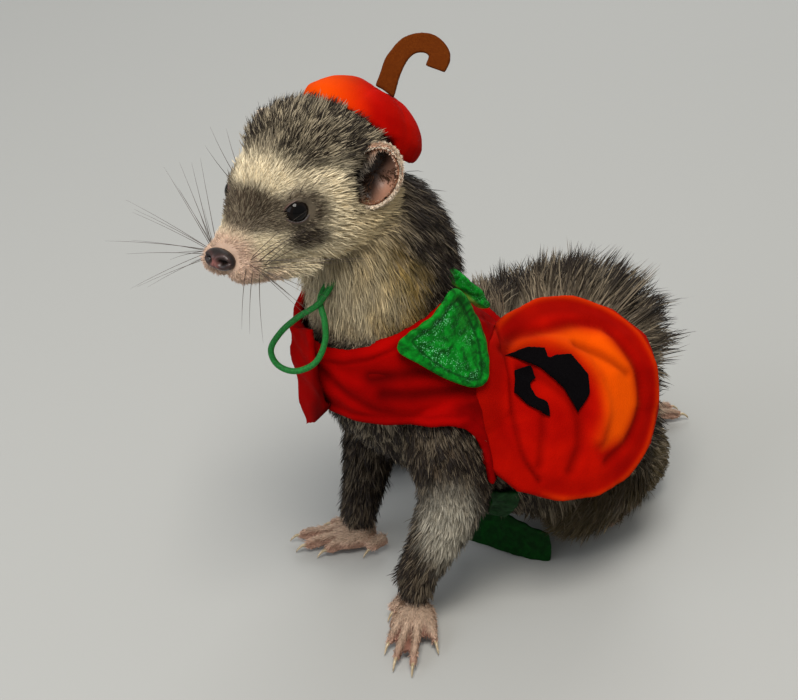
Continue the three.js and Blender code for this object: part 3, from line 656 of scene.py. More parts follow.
def ear_place(side: Side) -> Array:
    """The frame of an ear in the head's frame, open to its -Y."""
    x, y, z = EAR_AT
    turn = turned("Z", side.value * 38) @ turned("X", -8) @ turned("Y", side.value * 24)
    return shifted((side.value * x, y, z)) @ turn


def eye_plane(side: Side) -> Plane:
    """The frame of an eye in the head's frame: z faces out and x runs along the slit."""
    return Plane(side.mirrored(EYE_SPOT), frame_facing(side.mirrored(EYE_FACING), (0, side.value, 0)))


def foot_parts(foot: FootPlace) -> list[Part]:
    """The sole and toes of one foot, a little inside their solids."""
    side = foot.side
    sole = OvalForm(
        [(-foot.heel_back, 0, 5, 5.5, 4.5, 6), (0, 0, 5.2, 7.5, 5.5, 6), (6, 0, 4.6, 8.6, 4.2, 5.2),
         (11, 0, 3.8, 8, 3, 4.2)],
        across=(0, 1, 0), ends=(5, 4), grow=-0.5, rows=14, sides=24)
    toes = [
        OvalForm(
            [(*toe.spot(-4, 5, side), 2.6, 2.6, 3.4),
             (*toe.spot(toe.length * 0.35, 4.6, side), 2.3, 2.1, 3),
             (*toe.spot(toe.length * 0.75, 3.6, side), 2.5, 2.2, 3),
             (*toe.spot(toe.length, 2.8, side), 1.9, 1.4, 2.2)],
            across=toe.across(side), ends=(1.5, 1.8), grow=-0.25, rows=12, sides=16)
        for toe in TOES
    ]
    return [Part(PartKind.PAW, form, foot.matrix()) for form in [sole, *toes]]


def foreleg_form(side: Side, grow: float) -> OvalForm:
    """A foreleg from the shoulder to the wrist."""
    s = side.value
    x, y, z = WRISTS[side]
    stations = [
        (s * 19, -98, 92, 14, 17, 15), (s * 26, -97, 74, 14, 16, 15), (s * 30, -96, 54, 12.5, 14, 12.5),
        ((s * 30 + x) / 2, -101, 36, 10, 10.5, 10), (x, y, z + 9, 8, 8, 8), (x, y - 2, z, 8, 7.5, 7),
    ]
    return OvalForm(stations, ends=(8, 5), grow=grow, rows=26, sides=28)


def body_parts() -> list[Part]:
    """Every form of the flesh, sunk below its solid by the depth of the coat there."""
    made = [
        Part(PartKind.TRUNK, OvalForm(TORSO, ends=(9, 14), square=2.2, grow=-4, rows=56, sides=56)),
        Part(PartKind.TRUNK, BallForm((0, -5.5, 21.5), (21, 22, 23.6), grow=-2)),
        Part(PartKind.NECK, OvalForm(NECK, grow=-3.6, rows=30, sides=44)),
        Part(PartKind.HEAD, OvalForm(SKULL, ends=(5, 9), square=2.3, grow=-1.5, rows=52, sides=56),
             HEAD_PLACE),
        Part(PartKind.HEAD, OvalForm(JAW, ends=(4, 6), grow=-0.6, rows=18, sides=28), HEAD_PLACE),
        Part(PartKind.TAIL, OvalForm(TAIL, across=(0, 0, 1), ends=(6, 6), grow=-4.6, rows=44, sides=24)),
    ]
    for side in Side:
        s = side.value
        x, y, z = EYE_SPOT
        made += [
            Part(PartKind.HEAD, BallForm((s * 5, -39.5, -10.5), (5.8, 7, 5.4), grow=-0.4), HEAD_PLACE),
            Part(PartKind.HEAD, BallForm((s * x, y, z), (EYE_RADIUS + 0.5,) * 3), HEAD_PLACE),
            Part(PartKind.HEAD, BallForm((s * (x - 1.2), y + 2.4, z + 3.2), (5, 6, 2.8)), HEAD_PLACE),
            Part(PartKind.FORELEG, foreleg_form(side, -2.4)),
            Part(PartKind.HINDLEG, OvalForm(THIGHS[side], ends=(10, 8), grow=-3, rows=22, sides=30)),
            Part(PartKind.HINDLEG, OvalForm(SHANKS[side], ends=(6, 5), grow=-2, rows=20, sides=24)),
        ]
    for foot in FEET.values():
        made += foot_parts(foot)
    return made


# The costume's outlines, in the sizes of its solids

PANEL_RADIUS = (36.5, 36)
PANEL = Plane((34.5, -51, 79.5), frame_facing((0.8, 0.1, 0.58), (0, 1, 0)))
CAP_SIZE = (21, 21, 14)
CAP = Plane((-9.2, -106, 173.9), frame_facing((-0.084, 0.63, 0.772), (1, 0.4, 0)))
# The frame at the flat leaf, with x to the right and y up in the photograph
PICTURE = Plane((26, -91, 108), frame_facing((0.76, -0.38, 0.53), (0.5, 0.866, 0)))
LEAF = [(-17.5, 3), (-9, 11), (-1.5, 19.5), (4, 15), (9, 3), (8.6, -10.5), (-4, -8.5)]
YOKE = np.array([
    (-150, 86), (-103, 86), (-95, 84.6), (-90.2, 78), (-89, 68), (-86, 50), (-70, 47), (-67, 60), (-66, 80),
    (-64, 96), (-58, 112), (-62, 124), (-97, 125), (-150, 102),
])
NAPE_EDGE = ((-200, 140), (-95, 125), (-66, 99))
VEST_FOOT = 60.5
STRAP_BAND = np.array([(-85, 10), (-71, 10), (-71, 46.5), (-85.5, 49)])


def nape_edge(points: Array) -> Array:
    """The height of the vest's upper edge at the back of the neck."""
    return np.interp(points[:, 1], *zip(*NAPE_EDGE))


# The skin

@dataclass
class Hide:
    """The skin with what the coat needs at each corner, all in millimetres."""

    points: Array
    faces: Array
    kind: Array
    lie: Array
    atlas: Array
    normal: Array = field(init=False)
    on_head: Array = field(init=False)
    on_panel: Array = field(init=False)

    def __post_init__(self) -> None:
        """Works out normals and the places in the head's and the panel's frames."""
        self.normal = vertex_normals(self.points, triangles(self.faces))
        self.on_head = moved(self.points, np.linalg.inv(HEAD_PLACE))
        self.on_panel = PANEL.flat(self.points)

    def is_kind(self, *kinds: PartKind) -> Array:
        """Which corners belong to some parts of the body."""
        return np.isin(self.kind, [k.value for k in kinds])

    def soft(self, rounds: int, *kinds: PartKind) -> Array:
        """The corners of some parts of the body as a share from 0 to 1, whose edge softens by rounds."""
        chosen = self.is_kind(*kinds).astype(float)
        return relaxed(chosen[:, None], self.faces, rounds, 0.7)[:, 0]

    def along(self, lie: Array) -> Array:
        """Directions laid down along the skin."""
        return lie - self.normal * dots(lie, self.normal)[:, None]


@dataclass
class Skin:
    """One skin over the whole animal: melted from the parts, then given the folds of the face."""

    parts: list[Part] = field(default_factory=body_parts)

    def build(self) -> Hide:
        """Melts the parts together and sculpts the face.

        Returns:
            The skin's corners with part, lie and unwrap.
        """
        meshes = []
        for part in self.parts:
            points, faces = outward(part.form.mesh())
            meshes.append((moved(points, part.place), faces))
        points, faces = voxel_union(meshes, SKIN_VOXEL)
        points = relaxed(points, faces, 3, 0.5)
        points[:, 2] = np.maximum(points[:, 2], 0.25)
        kind, lie, atlas = self.survey(points)
        points = self.sculpted(points, vertex_normals(points, triangles(faces)))
        hide = Hide(points, faces, kind, lie, atlas)
        hide.lie = self.combed(hide)
        return hide

    def survey(self, points: Array) -> tuple[Array, Array, Array]:
        """Finds each corner's part, the direction along that part, and its place on the unwrap.

        Args:
            points: the skin's corners.
        Returns:
            Part kinds, directions and UV places.
        """
        spots, along, rounds, lines, owners = [], [], [], [], []
        for number, part in enumerate(self.parts):
            grid, at, angle = part.form.grid()
            spots.append(moved(grid, part.place))
            if isinstance(part.form, OvalForm):
                line = part.form.section(at)[4] @ part.place[:3, :3].T
                at = at / part.form.length
            else:
                line = np.tile(part.place[:3, 1], (len(at), 1))
                at = at / math.pi
            along.append(at)
            rounds.append(angle)
            lines.append(line)
            owners.append(np.full(len(at), number))
        spots, along, rounds, lines = (np.concatenate(x) for x in (spots, along, rounds, lines))
        owners = np.concatenate(owners)
        tree = search_tree(spots, range(len(spots)))
        near = np.array([[(hit[1], hit[2]) for hit in tree.find_n(p, 3)] for p in points])
        index = near[:, :, 0].astype(int)
        same = owners[index] == owners[index[:, :1]]
        weight = same / (near[:, :, 1] + 0.05)
        weight /= weight.sum(axis=1, keepdims=True)
        owner = owners[index[:, 0]]
        at = (along[index] * weight).sum(axis=1)
        turn = np.arctan2(*((wave(rounds[index]) * weight).sum(axis=1) for wave in (np.sin, np.cos)))
        cell = np.stack([owner % ATLAS_SIDE, owner // ATLAS_SIDE], axis=1)
        place = np.stack([at, (turn / (2 * math.pi)) % 1], axis=1) * CELL_SPAN + CELL_EDGE
        kinds = np.array([part.kind.value for part in self.parts])
        lie = (lines[index] * weight[..., None]).sum(axis=1)
        return kinds[owner], unit(lie), (cell + place) / ATLAS_SIDE

    def sculpted(self, points: Array, normal: Array) -> Array:
        """Presses the eye sockets, the mouth line and the groove under the nose into the face.

        Args:
            points: the skin's corners.
            normal: the skin's normals.
        Returns:
            The new corners.
        """
        local = moved(points, np.linalg.inv(HEAD_PLACE))
        flat = local * (-1, 1, 1)
        pushed = np.zeros(len(points))
        line = resampled(spline(MOUTH, 12), 40)
        for mirror in (local, flat):
            pushed += 0.9 * bump(line_distance(mirror, line, 3), 0, 0.9)
        groove = bump(local[:, 0], 0, 0.7) * ramp(-local[:, 1], 43, 45)
        groove = groove * ramp(-local[:, 2], 9.5, 11) * ramp(local[:, 2], -15.5, -14.5)
        chin = ramp(-local[:, 1], 36, 40) * bump(local[:, 2], -18.5, 2.4)
        pushed += 0.7 * groove - 0.5 * chin * bump(local[:, 0], 0, 5)
        pushed += ramp(local[:, 1], -30, -20) * ramp(local[:, 2], 8, 14) + 1.4 * toe_gaps(points)
        rear = ramp(points[:, 1], -22, -6) * bump(points[:, 2], 37, 34) * ramp(points[:, 0], -30, -18)
        made = points - normal * (np.clip(pushed, -1, 1.4) + 6 * rear)[:, None]
        for side in Side:
            centre = side.mirrored(EYE_SPOT)
            eye = eye_plane(side).flat(local)
            front = eye[:, 2] > 0
            opening = 1 - ramp(np.hypot(eye[:, 0] / 4.6, (eye[:, 1] - 0.1) / 3.3), 0.8, 1.05)
            sink = front * opening * (np.linalg.norm(eye, axis=1) < 8)
            target = centre + unit(local - centre) * (EYE_RADIUS - 1.6)
            made = mix(made, moved(target, HEAD_PLACE), sink)
            made = self.bowl(made, HEAD_PLACE @ ear_place(side))
        return made

    @staticmethod
    def bowl(points: Array, place: Array) -> Array:
        """Sinks the skin behind the cup of an ear, whose frame is given."""
        ear = moved(points, np.linalg.inv(place))
        off = np.hypot(ear[:, 0] / 9.3, (ear[:, 2] - 3) / 11.7)
        depth = 6.2 * np.sqrt(np.clip(1 - off ** 2, 0, 1)) + 0.2
        share = (1 - ramp(off, 0.8, 1.0)) * (ear[:, 1] < depth) * (ear[:, 1] > -11)
        ear[:, 1] += share * (depth - ear[:, 1])
        return moved(ear, place)

    @staticmethod
    def combed(hide: Hide) -> Array:
        """The way the coat lies: back from the nose, down the neck and legs, and out from the panel's rim.

        Args:
            hide: the skin.
        Returns:
            A direction along the skin for each corner.
        """
        nose = moved(np.array([[0.0, -66.0, 2.0]]), HEAD_PLACE)[0]
        head_lie = unit(hide.points - nose)
        lie = np.where(hide.is_kind(PartKind.HEAD)[:, None], head_lie, hide.lie)
        round_panel = unit(unit(hide.along(hide.points - np.array(PANEL.at))) + (0, 0.5, -0.3))
        behind = ramp(hide.points[:, 1], -78, -62) * hide.soft(6, PartKind.TRUNK)
        lie = mix(lie, round_panel, behind)
        return unit(hide.along(relaxed(lie, hide.faces, 14, 0.7)))


# The coat

class Tone(Enum):
    """The colours of a sable ferret's coat."""

    CREAM = "e2d3b2"
    WHITE = "e8dccb"
    STRAW = "bd9c56"
    OLIVE = "7d6c42"
    MASK = "28170d"
    SABLE = "1b1410"
    BLACK = "0f0b0a"
    ASH = "968872"
    UMBER = "38281b"
    PINK = "d39c88"
    FLESH = "8f5a4a"
    PAW = "c8ae98"
    # Pale hair painted greyer, as shade on the lower muzzle and under the chin.
    DUSK = "b5a08e"
    SILVER = "bab3a2"

    @property
    def linear(self) -> Array:
        """The colour as shaders take it."""
        return rgb(self.value)


def blob(points: Array, centre: Sequence[float], reach: Sequence[float], edge: float = 0.3) -> Array:
    """A soft-edged blob, one inside an ellipsoid and nothing outside."""
    off = np.linalg.norm((points - np.array(centre)) / np.array(reach), axis=1)
    return 1 - ramp(off, 1 - edge, 1 + edge)


@dataclass
class Markings:
    """The colours of the coat at its roots and its tips, over the whole animal."""

    hide: Hide

    def paint(self) -> tuple[Array, Array]:
        """Works out the markings.

        Returns:
            Colours of roots and of tips for each corner of the skin.
        """
        hide = self.hide
        p = hide.points
        root, tip = (np.tile(tone.linear, (len(p), 1)) for tone in (Tone.ASH, Tone.SABLE))
        root, tip = self.body(p, root, tip)
        root, tip = self.neck(p, root, tip)
        root, tip = self.head(root, tip)
        paw = hide.soft(6, PartKind.PAW) * (1 - ramp(p[:, 2], 9, 15))
        for name in ("hindfoot_left", "hindfoot_right"):
            paw = paw * (1 - bump(np.linalg.norm(p - (*FEET[name].heel, 4), axis=1), 0, 11))
        toes = paw * (1 - ramp(p[:, 2], 4.2, 7.5))
        # Between the toes the roots show flesh and the tips are painted dark, as shade in the grooves.
        gaps = toe_gaps(p) * paw
        root = mix(mix(root, Tone.PAW.linear, paw), Tone.FLESH.linear, np.maximum(0.7 * toes, gaps))
        tip = mix(mix(tip, Tone.PAW.linear, paw), Tone.PINK.linear, 0.45 * toes)
        tip = mix(tip, Tone.FLESH.linear * 0.5, 0.75 * gaps)
        return root, tip

    def body(self, p: Array, root: Array, tip: Array) -> tuple[Array, Array]:
        """Grey-cream underfur with black tips behind, and dark legs with a pale patch."""
        hide = self.hide
        legs = hide.soft(8, PartKind.FORELEG, PartKind.HINDLEG)
        root = mix(root, Tone.UMBER.linear, 0.8 * legs)
        pale = blob(p, (37, -101, 47), (9, 8, 16), 0.6) * legs
        root = mix(root, Tone.SILVER.linear, 0.95 * pale)
        tip = mix(tip, Tone.SILVER.linear, 0.7 * pale)
        low = (1 - ramp(p[:, 2], 20, 62)) * hide.soft(8, PartKind.TRUNK, PartKind.HINDLEG)
        root = mix(root, Tone.UMBER.linear, 0.25 * low)
        tip = mix(tip, Tone.OLIVE.linear * 0.5, 0.5 * low * ramp(p[:, 1], -70, -50))
        return root, tip

    def neck(self, p: Array, root: Array, tip: Array) -> tuple[Array, Array]:
        """A straw-yellow throat that darkens to sable on the nape."""
        throat = self.hide.soft(10, PartKind.NECK)
        level = p[:, 1] + 0.35 * (p[:, 2] - 135)
        front = 1 - ramp(level + 3 * np.sin(p[:, 2] * 0.35 + p[:, 0] * 0.3), -111, -98)
        streak = 0.5 + 0.5 * np.sin(p[:, 0] * 0.62 + p[:, 1] * 0.45 + 2 * np.sin(p[:, 2] * 0.16))
        gold = mix(Tone.STRAW.linear, Tone.OLIVE.linear, 0.25 + 0.7 * streak)
        for cream in (0.6 * (1 - ramp(level, -125, -117)),
                      0.5 * ramp(p[:, 2], 120, 134) * (1 - ramp(level, -116, -106))):
            gold = mix(gold, Tone.CREAM.linear, cream)
        root = mix(root, Tone.SABLE.linear, 0.75 * throat * (1 - front) * ramp(level, -104, -96))
        root = mix(root, mix(gold, Tone.CREAM.linear, 0.15) * 0.85, throat * front)
        tip = mix(tip, gold * 0.7, throat * front)
        return root, tip

    def head(self, root: Array, tip: Array) -> tuple[Array, Array]:
        """A cream face with a brown mask, pale muzzle and dark crown."""
        hide = self.hide
        q = np.column_stack([np.abs(hide.on_head[:, 0]), hide.on_head[:, 1:]])
        share = hide.soft(8, PartKind.HEAD)
        cheek = 0.4 * ramp(q[:, 1], -22, 0) * (1 - ramp(q[:, 2], 6, 12))
        face = mix(Tone.CREAM.linear, Tone.STRAW.linear, cheek)
        bridge = blob(q, (0, -35.5, 4.3), (12.5, 7, 7))
        corner = blob(q, (8.5, -31.5, 3.6), (6.5, 5.2, 5.4), 0.35)
        ring = blob(q, (13.2, -24.6, 3.4), (7.6, 7.8, 7.4), 0.3)
        under = blob(q, (15, -25.2, -4.4), (5, 6.8, 4.4), 0.45)
        mask = np.maximum.reduce([0.97 * bridge, 0.92 * corner, 0.95 * ring, under])
        face_tip = mix(mix(face, Tone.MASK.linear, mask), Tone.BLACK.linear, 0.6 * under)
        face_root = mix(face, Tone.UMBER.linear, 0.8 * mask)
        muzzle = ramp(-q[:, 1], 37, 43) * (1 - ramp(q[:, 2], -3.5, 1.5))
        chin = ramp(-q[:, 1], 24, 34) * (1 - ramp(q[:, 2], -17, -12))
        pink = np.maximum(0.55 * muzzle, 0.5 * chin)
        # The lower muzzle and the chin are pale hair painted greyer, as shade.
        face_tip = mix(face_tip, Tone.DUSK.linear, np.maximum(muzzle, chin))
        face_tip = mix(face_tip, Tone.PINK.linear, 0.4 * pink)
        face_root = mix(face_root, Tone.PINK.linear * 0.8, pink)
        ear_front = blob(q, (21.5, -5.5, 9.5), (7, 6.5, 10.5), 0.35)
        back = ramp(q[:, 1], 5, 13)
        dark = np.maximum.reduce([self.crown(q), ear_front, back])
        face_tip = mix(face_tip, Tone.SABLE.linear, dark)
        face_root = mix(face_root, Tone.ASH.linear, 0.5 * dark)
        face_root = mix(face_root, Tone.UMBER.linear, 0.8 * ear_front)
        return mix(root, face_root, share), mix(tip, face_tip, share)

    @staticmethod
    def crown(q: Array) -> Array:
        """The share of the bristling dark crown at places in the head's frame."""
        across = np.abs(q[:, 0])
        start = -23.5 + 11 * ramp(across, 8, 17)
        return ramp(q[:, 1] - start, -2.5, 3) * ramp(q[:, 2], 11, 15.5)


@dataclass
class CoatPlan:
    """How the coat grows at each corner of the skin."""

    hide: Hide
    length: Array = field(init=False)
    lift: Array = field(init=False)
    density: Array = field(init=False)
    width: Array = field(init=False)
    clump: Array = field(init=False)
    salt: Array = field(init=False)

    def __post_init__(self) -> None:
        """Sets the coat part by part, then softens the steps between the parts."""
        hide = self.hide
        q = hide.on_head
        p = hide.points
        shares = [hide.soft(rounds, kind) for rounds, kind in (
            (6, PartKind.TRUNK), (6, PartKind.NECK), (6, PartKind.HEAD), (6, PartKind.FORELEG),
            (6, PartKind.HINDLEG), (4, PartKind.PAW), (4, PartKind.TAIL))]
        back = ramp(q[:, 1], -38, -12)
        bristle = Markings.crown(q)
        socket = bump(np.linalg.norm(q - np.array(EYE_SPOT), axis=1), EYE_RADIUS, 3.6)
        bridge = bump(q[:, 2], 5, 5) * bump(q[:, 0], 0, 12) * bump(q[:, 1], -31, 8)
        rear = ramp(p[:, 1], -24, -8) * (1 - ramp(p[:, 2], 62, 84))
        flank = ramp(p[:, 0], 16, 28) * (1 - ramp(p[:, 2], 34, 52)) * ramp(p[:, 1], -66, -54)
        toes = 1 - ramp(p[:, 2], 4, 8)
        rump_length = 5.5 + 6 * ramp(p[:, 2], 14, 44) + 10 * ramp(p[:, 2], 44, 84)
        rump_length += 5 * ramp(p[:, 1], -40, -22) * ramp(p[:, 2], 70, 86)
        rump_length -= 2.5 * (1 - ramp(p[:, 1], -46, -30))
        for share, length in ((rear, 4.5), (flank, 13), (1 - ramp(p[:, 1], -86, -74), 6.5)):
            rump_length = rump_length * (1 - share) + length * share
        face_length = (2 + 3.2 * back + 2.8 * bristle) * (1 - 0.62 * socket) + 2.2 * bridge
        hem = np.clip(1 - outline_distance(p[:, 1:], YOKE) / 10, 0, 1) * ramp(p[:, 2], 98, 104)
        rump_length = rump_length * (1 - hem) + 2.4 * hem
        neck_length = 10 - 5.6 * hem
        hind_length = 6.5 - 2.5 * rear + 4.5 * flank
        self.length = self.blend(
            shares, [rump_length, neck_length, face_length, 6.5, hind_length, 3.0 - 1.4 * toes, 15])
        self.lift = self.blend(shares, [0.46, 0.26, 0.14 + 0.42 * bristle, 0.3, 0.3, 0.2, 0.4])
        self.density = self.blend(shares, [4.6, 6.4, 11.5 - 5 * back, 6, 5, 8.5 - 2 * toes, 4.5])
        self.width = self.blend(shares, [0.46, 0.33, 0.22 + 0.14 * back, 0.36, 0.42, 0.22, 0.5])
        self.clump = self.blend(shares, [0.68, 0.45, 0.12 + 0.3 * bristle, 0.5, 0.5, 0.1, 0.45])
        self.salt = self.blend(shares, [0.26, 0.2, 0.1 + 0.14 * bristle, 0.26, 0.2, 0.1, 0.26])
        self.density *= 1 - self.covered()

    @staticmethod
    def blend(shares: Sequence[Array], values: Sequence[Array | float]) -> Array:
        """A mean of values weighted by soft shares."""
        total = sum(shares) + 1e-6
        return sum(share * value for share, value in zip(shares, values)) / total

    def covered(self) -> Array:
        """Where clothes, eyes, nose or the floor leave no room for hair."""
        hide = self.hide
        p, q, on = hide.points, hide.on_head, hide.on_panel
        disc = np.hypot(on[:, 0] / PANEL_RADIUS[0], on[:, 1] / PANEL_RADIUS[1])
        seen = np.hypot((on[:, 0] + 0.5 * on[:, 2]) / PANEL_RADIUS[0], on[:, 1] / PANEL_RADIUS[1])
        under = (np.maximum(disc, seen) < 0.93) & (on[:, 2] > -34) & (hide.normal @ PANEL.axes[2] > -0.1)
        trunk = hide.is_kind(PartKind.TRUNK, PartKind.NECK, PartKind.FORELEG)
        collar = 1.5 + 5.5 * ((p[:, 2] > 96) & (p[:, 1] < -100))
        vest = trunk & (outline_distance(p[:, 1:], YOKE) < -collar) & (p[:, 2] < nape_edge(p) - 1)
        vest &= p[:, 2] > VEST_FOOT
        vest |= trunk & (p[:, 1] < -112) & (p[:, 0] > 8) & (p[:, 2] > 86) & (p[:, 2] < 107)
        strap = trunk & (outline_distance(p[:, 1:], STRAP_BAND) < -1)
        cap = CAP.flat(p)
        hat = np.linalg.norm(cap / np.array(CAP_SIZE), axis=1) < 1.02
        eyes = np.zeros(len(p), bool)
        for side in Side:
            gap = np.linalg.norm(q - side.mirrored(EYE_SPOT), axis=1)
            eyes |= gap < EYE_RADIUS + (0.6 if side is Side.LEFT else 0.1)
            ear = moved(q, np.linalg.inv(ear_place(side)))
            eyes |= (np.hypot(ear[:, 0] / 8, (ear[:, 2] - 3) / 10) < 0.86) & (np.abs(ear[:, 1]) < 9)
        nose = np.linalg.norm((q - np.array(NOSE_AT)) / (5.7, 4, 4), axis=1) < 1
        floor = (p[:, 2] < 1.2) | ((p[:, 2] < 5) & (hide.normal[:, 2] < -0.5))
        return (under | vest | strap | hat | eyes | nose | floor).astype(float)


@dataclass
class Roots:
    """Where hairs grow and how."""

    at: Array
    normal: Array
    lie: Array
    atlas: Array
    length: Array
    lift: Array
    width: Array
    clump: Array
    salt: Array
    root: Array
    tip: Array
    kind: Array

    def chosen(self, keep: Array) -> "Roots":
        """The roots that a choice keeps."""
        return Roots(*(getattr(self, name)[keep] for name in self.__dataclass_fields__))


@dataclass(frozen=True)
class HairLayer:
    """One layer of the coat.

    Share is how much of the planned density it gets, length and width scale the plan's, and tip is how far
    the hairs darken to the tip's colour, by the shares of it at the blade's four heights.
    """

    name: str
    share: float
    length: float
    width: float
    lift: float
    tip: float
    stray: float
    darkens: tuple[float, float, float, float] = (0.0, 0.35, 0.85, 1.0)


COAT_SEED = 21
UNDERFUR = HairLayer("under", 0.56, 0.72, 1.1, 0.9, 0.3, 0.16)
GUARD = HairLayer("guard", 0.44, 1.0, 0.95, 1.1, 1.0, 0.22, (0.1, 0.8, 1.0, 1.0))
EAR_FUZZ = HairLayer("fuzz", 1.0, 1.0, 1.0, 1.0, 0.6, 0.2)


@dataclass
class Coat:
    """The whole coat as thin tapered blades of mesh, in pieces by region.

    Heights and shape are the blade's rings along it and their widths, root_dims how much darker the
    hair is painted there, as shade deep in the coat. A clump has clump_size hairs, and the share same_tone of
    them takes the tone of its chief.
    """

    hide: Hide
    plan: CoatPlan
    root_colour: Array
    tip_colour: Array
    material: bpy.types.Material
    most_blades: int = 38000
    heights: tuple[float, ...] = (0.0, 0.38, 0.72, 1.0)
    shape: tuple[float, ...] = (0.9, 1.0, 0.66)
    root_dims: tuple[float, ...] = (0.5, 0.85, 1.0, 1.0)
    clump_size: float = 9
    same_tone: float = 0.62

    def sow(self, layer: HairLayer, random: np.random.Generator) -> Roots:
        """Spreads roots over the skin as densely as the plan says.

        Args:
            layer: which layer of the coat.
            random: the source of chance.
        Returns:
            The roots with what the skin knows at each.
        """
        hide, plan = self.hide, self.plan
        faces = triangles(hide.faces)
        area = 0.5 * np.linalg.norm(face_normals(hide.points, faces), axis=1)
        wanted = area * plan.density[faces].mean(axis=1) * layer.share
        count = int(wanted.sum())
        picked = faces[random.choice(len(faces), count, p=wanted / wanted.sum())]
        u, v = random.random(count), random.random(count)
        u, v = np.where(u + v > 1, 1 - u, u), np.where(u + v > 1, 1 - v, v)
        weight = np.stack([1 - u - v, u, v], axis=1)

        def at(values: Array) -> Array:
            """Values of the corners at the roots."""
            return np.einsum("nk,nk...->n...", weight, values[picked])

        made = Roots(at(hide.points), unit(at(hide.normal)), unit(at(hide.lie)), hide.atlas[picked[:, 0]],
                     at(plan.length), at(plan.lift), at(plan.width), at(plan.clump), at(plan.salt),
                     at(self.root_colour), at(self.tip_colour), hide.kind[picked[:, 0]])
        return made.chosen(random.random(count) < plan.density[picked].min(axis=1) + 0.02)

    @staticmethod
    def clumps(roots: Roots, spacing: float, random: np.random.Generator) -> tuple[Array, Array]:
        """Finds the clump that each hair leans to.

        Args:
            roots: the hairs.
            spacing: how many hairs share a clump.
            random: the source of chance.
        Returns:
            The number of each hair's chief, and how far its tip goes there.
        """
        count = len(roots.at)
        leaders = random.choice(count, max(1, int(count / spacing)), replace=False)
        tree = search_tree(roots.at[leaders], leaders)
        chief = np.array([tree.find(p)[1] for p in roots.at])
        gap = np.linalg.norm(roots.at - roots.at[chief], axis=1)
        near = 1 - ramp(gap, 2.5, 5)
        agree = ramp(dots(roots.normal, roots.normal[chief]), 0.3, 0.8)
        same = roots.kind == roots.kind[chief]
        return chief, roots.clump * near * agree * same

    def blades(self, roots: Roots, layer: HairLayer, random: np.random.Generator) -> list[bpy.types.Object]:
        """Bends a blade out of each root, gathers the tips in clumps and colours them.

        Args:
            roots: where the hairs grow.
            layer: which layer of the coat.
            random: the source of chance.
        Returns:
            The pieces.
        """
        count = len(roots.at)
        length = roots.length * layer.length * random.uniform(0.75, 1.15, count)
        lift = np.clip(roots.lift * layer.lift + random.normal(0, 0.06, count), 0.05, 0.95)[:, None]
        stray = random.normal(0, 1, (count, 3)) * layer.stray
        start = unit(roots.normal * (lift + 0.12) + roots.lie * (1 - lift) + stray * 0.6)
        end = unit(roots.normal * lift * 0.55 + roots.lie * (1.1 - lift * 0.6) + (0, 0, -0.12) + stray)
        reach = length[:, None]
        tips = roots.at + start * reach * 0.5 + end * reach * 0.5
        chief, pull = self.clumps(roots, self.clump_size, random)
        tips = mix(tips, tips[chief], pull)
        middle = roots.at + start * reach * 0.5
        base = roots.at - roots.normal * 0.5
        tips[:, 2] = np.maximum(tips[:, 2], 0.3)
        middle[:, 2] = np.maximum(middle[:, 2], 0.4)
        twist = random.uniform(-0.9, 0.9, count)[:, None]
        side = unit(np.cross(roots.normal, start) + 1e-4)
        side = unit(side * np.cos(twist) + np.cross(start, side) * np.sin(twist))
        width = (roots.width * layer.width * random.uniform(0.75, 1.25, count))[:, None]
        rings = []
        for t, wide in zip(self.heights, self.shape):
            centre = base * (1 - t) ** 2 + middle * 2 * t * (1 - t) + tips * t ** 2
            rings += [centre + side * width * wide * 0.5, centre - side * width * wide * 0.5]
        points = np.stack([*rings, tips], axis=1)
        tone = random.random(count)
        tone = np.where(random.random(count) < self.same_tone, tone[chief], tone)
        shade = self.shades(roots, layer, tone, random)
        return self.pieces(layer, roots, points, shade, side)

    def shades(self, roots: Roots, layer: HairLayer, tone: Array, random: np.random.Generator) -> Array:
        """Colours at the corners of each blade: pale hairs and locks stand among the dark ones."""
        count = len(roots.at)
        swing = 0.3 + 0.75 * roots.clump
        dark = random.uniform(0.8, 1.12, count)[:, None] * (1 + swing * (tone - 0.5))[:, None]
        pale = 1 - ramp(tone - roots.salt, -0.06, 0.06)
        tip = mix(mix(roots.root, roots.tip, layer.tip * (1 - 0.8 * pale)), Tone.ASH.linear, 0.4 * pale)
        made = []
        # Each ring is painted darker towards the root, as shade deep in the coat.
        for share, occlusion_dim in zip(layer.darkens, self.root_dims):
            made += 2 * [mix(roots.root, tip, share) * occlusion_dim * dark]
        return np.stack(made[:-1], axis=1)

    def pieces(self, layer: HairLayer, roots: Roots, points: Array, shade: Array,
               side: Array) -> list[bpy.types.Object]:
        """Turns blades into mesh objects of a fair size, one region each, shaded as if they were round."""
        faces = np.array([(0, 1, 3), (0, 3, 2), (2, 3, 5), (2, 5, 4), (4, 5, 6)])
        offset = np.array([(-1, -1), (1, -1), (-1, -0.3), (1, -0.3), (-1, 0.4), (1, 0.4), (0, 1)])
        offset = offset * TUFT_PATCH / 2
        edges = np.array([1, -1, 1, -1, 1, -1, 0])[None, :, None]
        made = []
        for kind in PartKind:
            picked = np.flatnonzero(roots.kind == kind.value)
            if not len(picked):
                continue
            parts = np.array_split(picked, math.ceil(len(picked) / self.most_blades))
            for number, part in enumerate(parts, 1):
                corners = points[part]
                count, each = corners.shape[:2]
                all_faces = (faces[None] + np.arange(count)[:, None, None] * each).reshape(-1, 3)
                flat = corners.reshape(-1, 3)
                piece = mesh_object(f"coat_{kind.name.lower()}_{layer.name}_{number}", flat, all_faces)
                colour_points(piece, "coat", shade[part].reshape(-1, 3))
                map_points(piece, (roots.atlas[part][:, None] + offset[None]).reshape(-1, 2))
                lean = (side[part][:, None] * edges).reshape(-1, 3)
                rounded = unit(vertex_normals(flat, all_faces) + 0.55 * lean)
                piece.data.normals_split_custom_set_from_vertices(rounded.astype(np.float32))
                piece.data.materials.append(self.material)
                made.append(piece)
        return made


# Materials

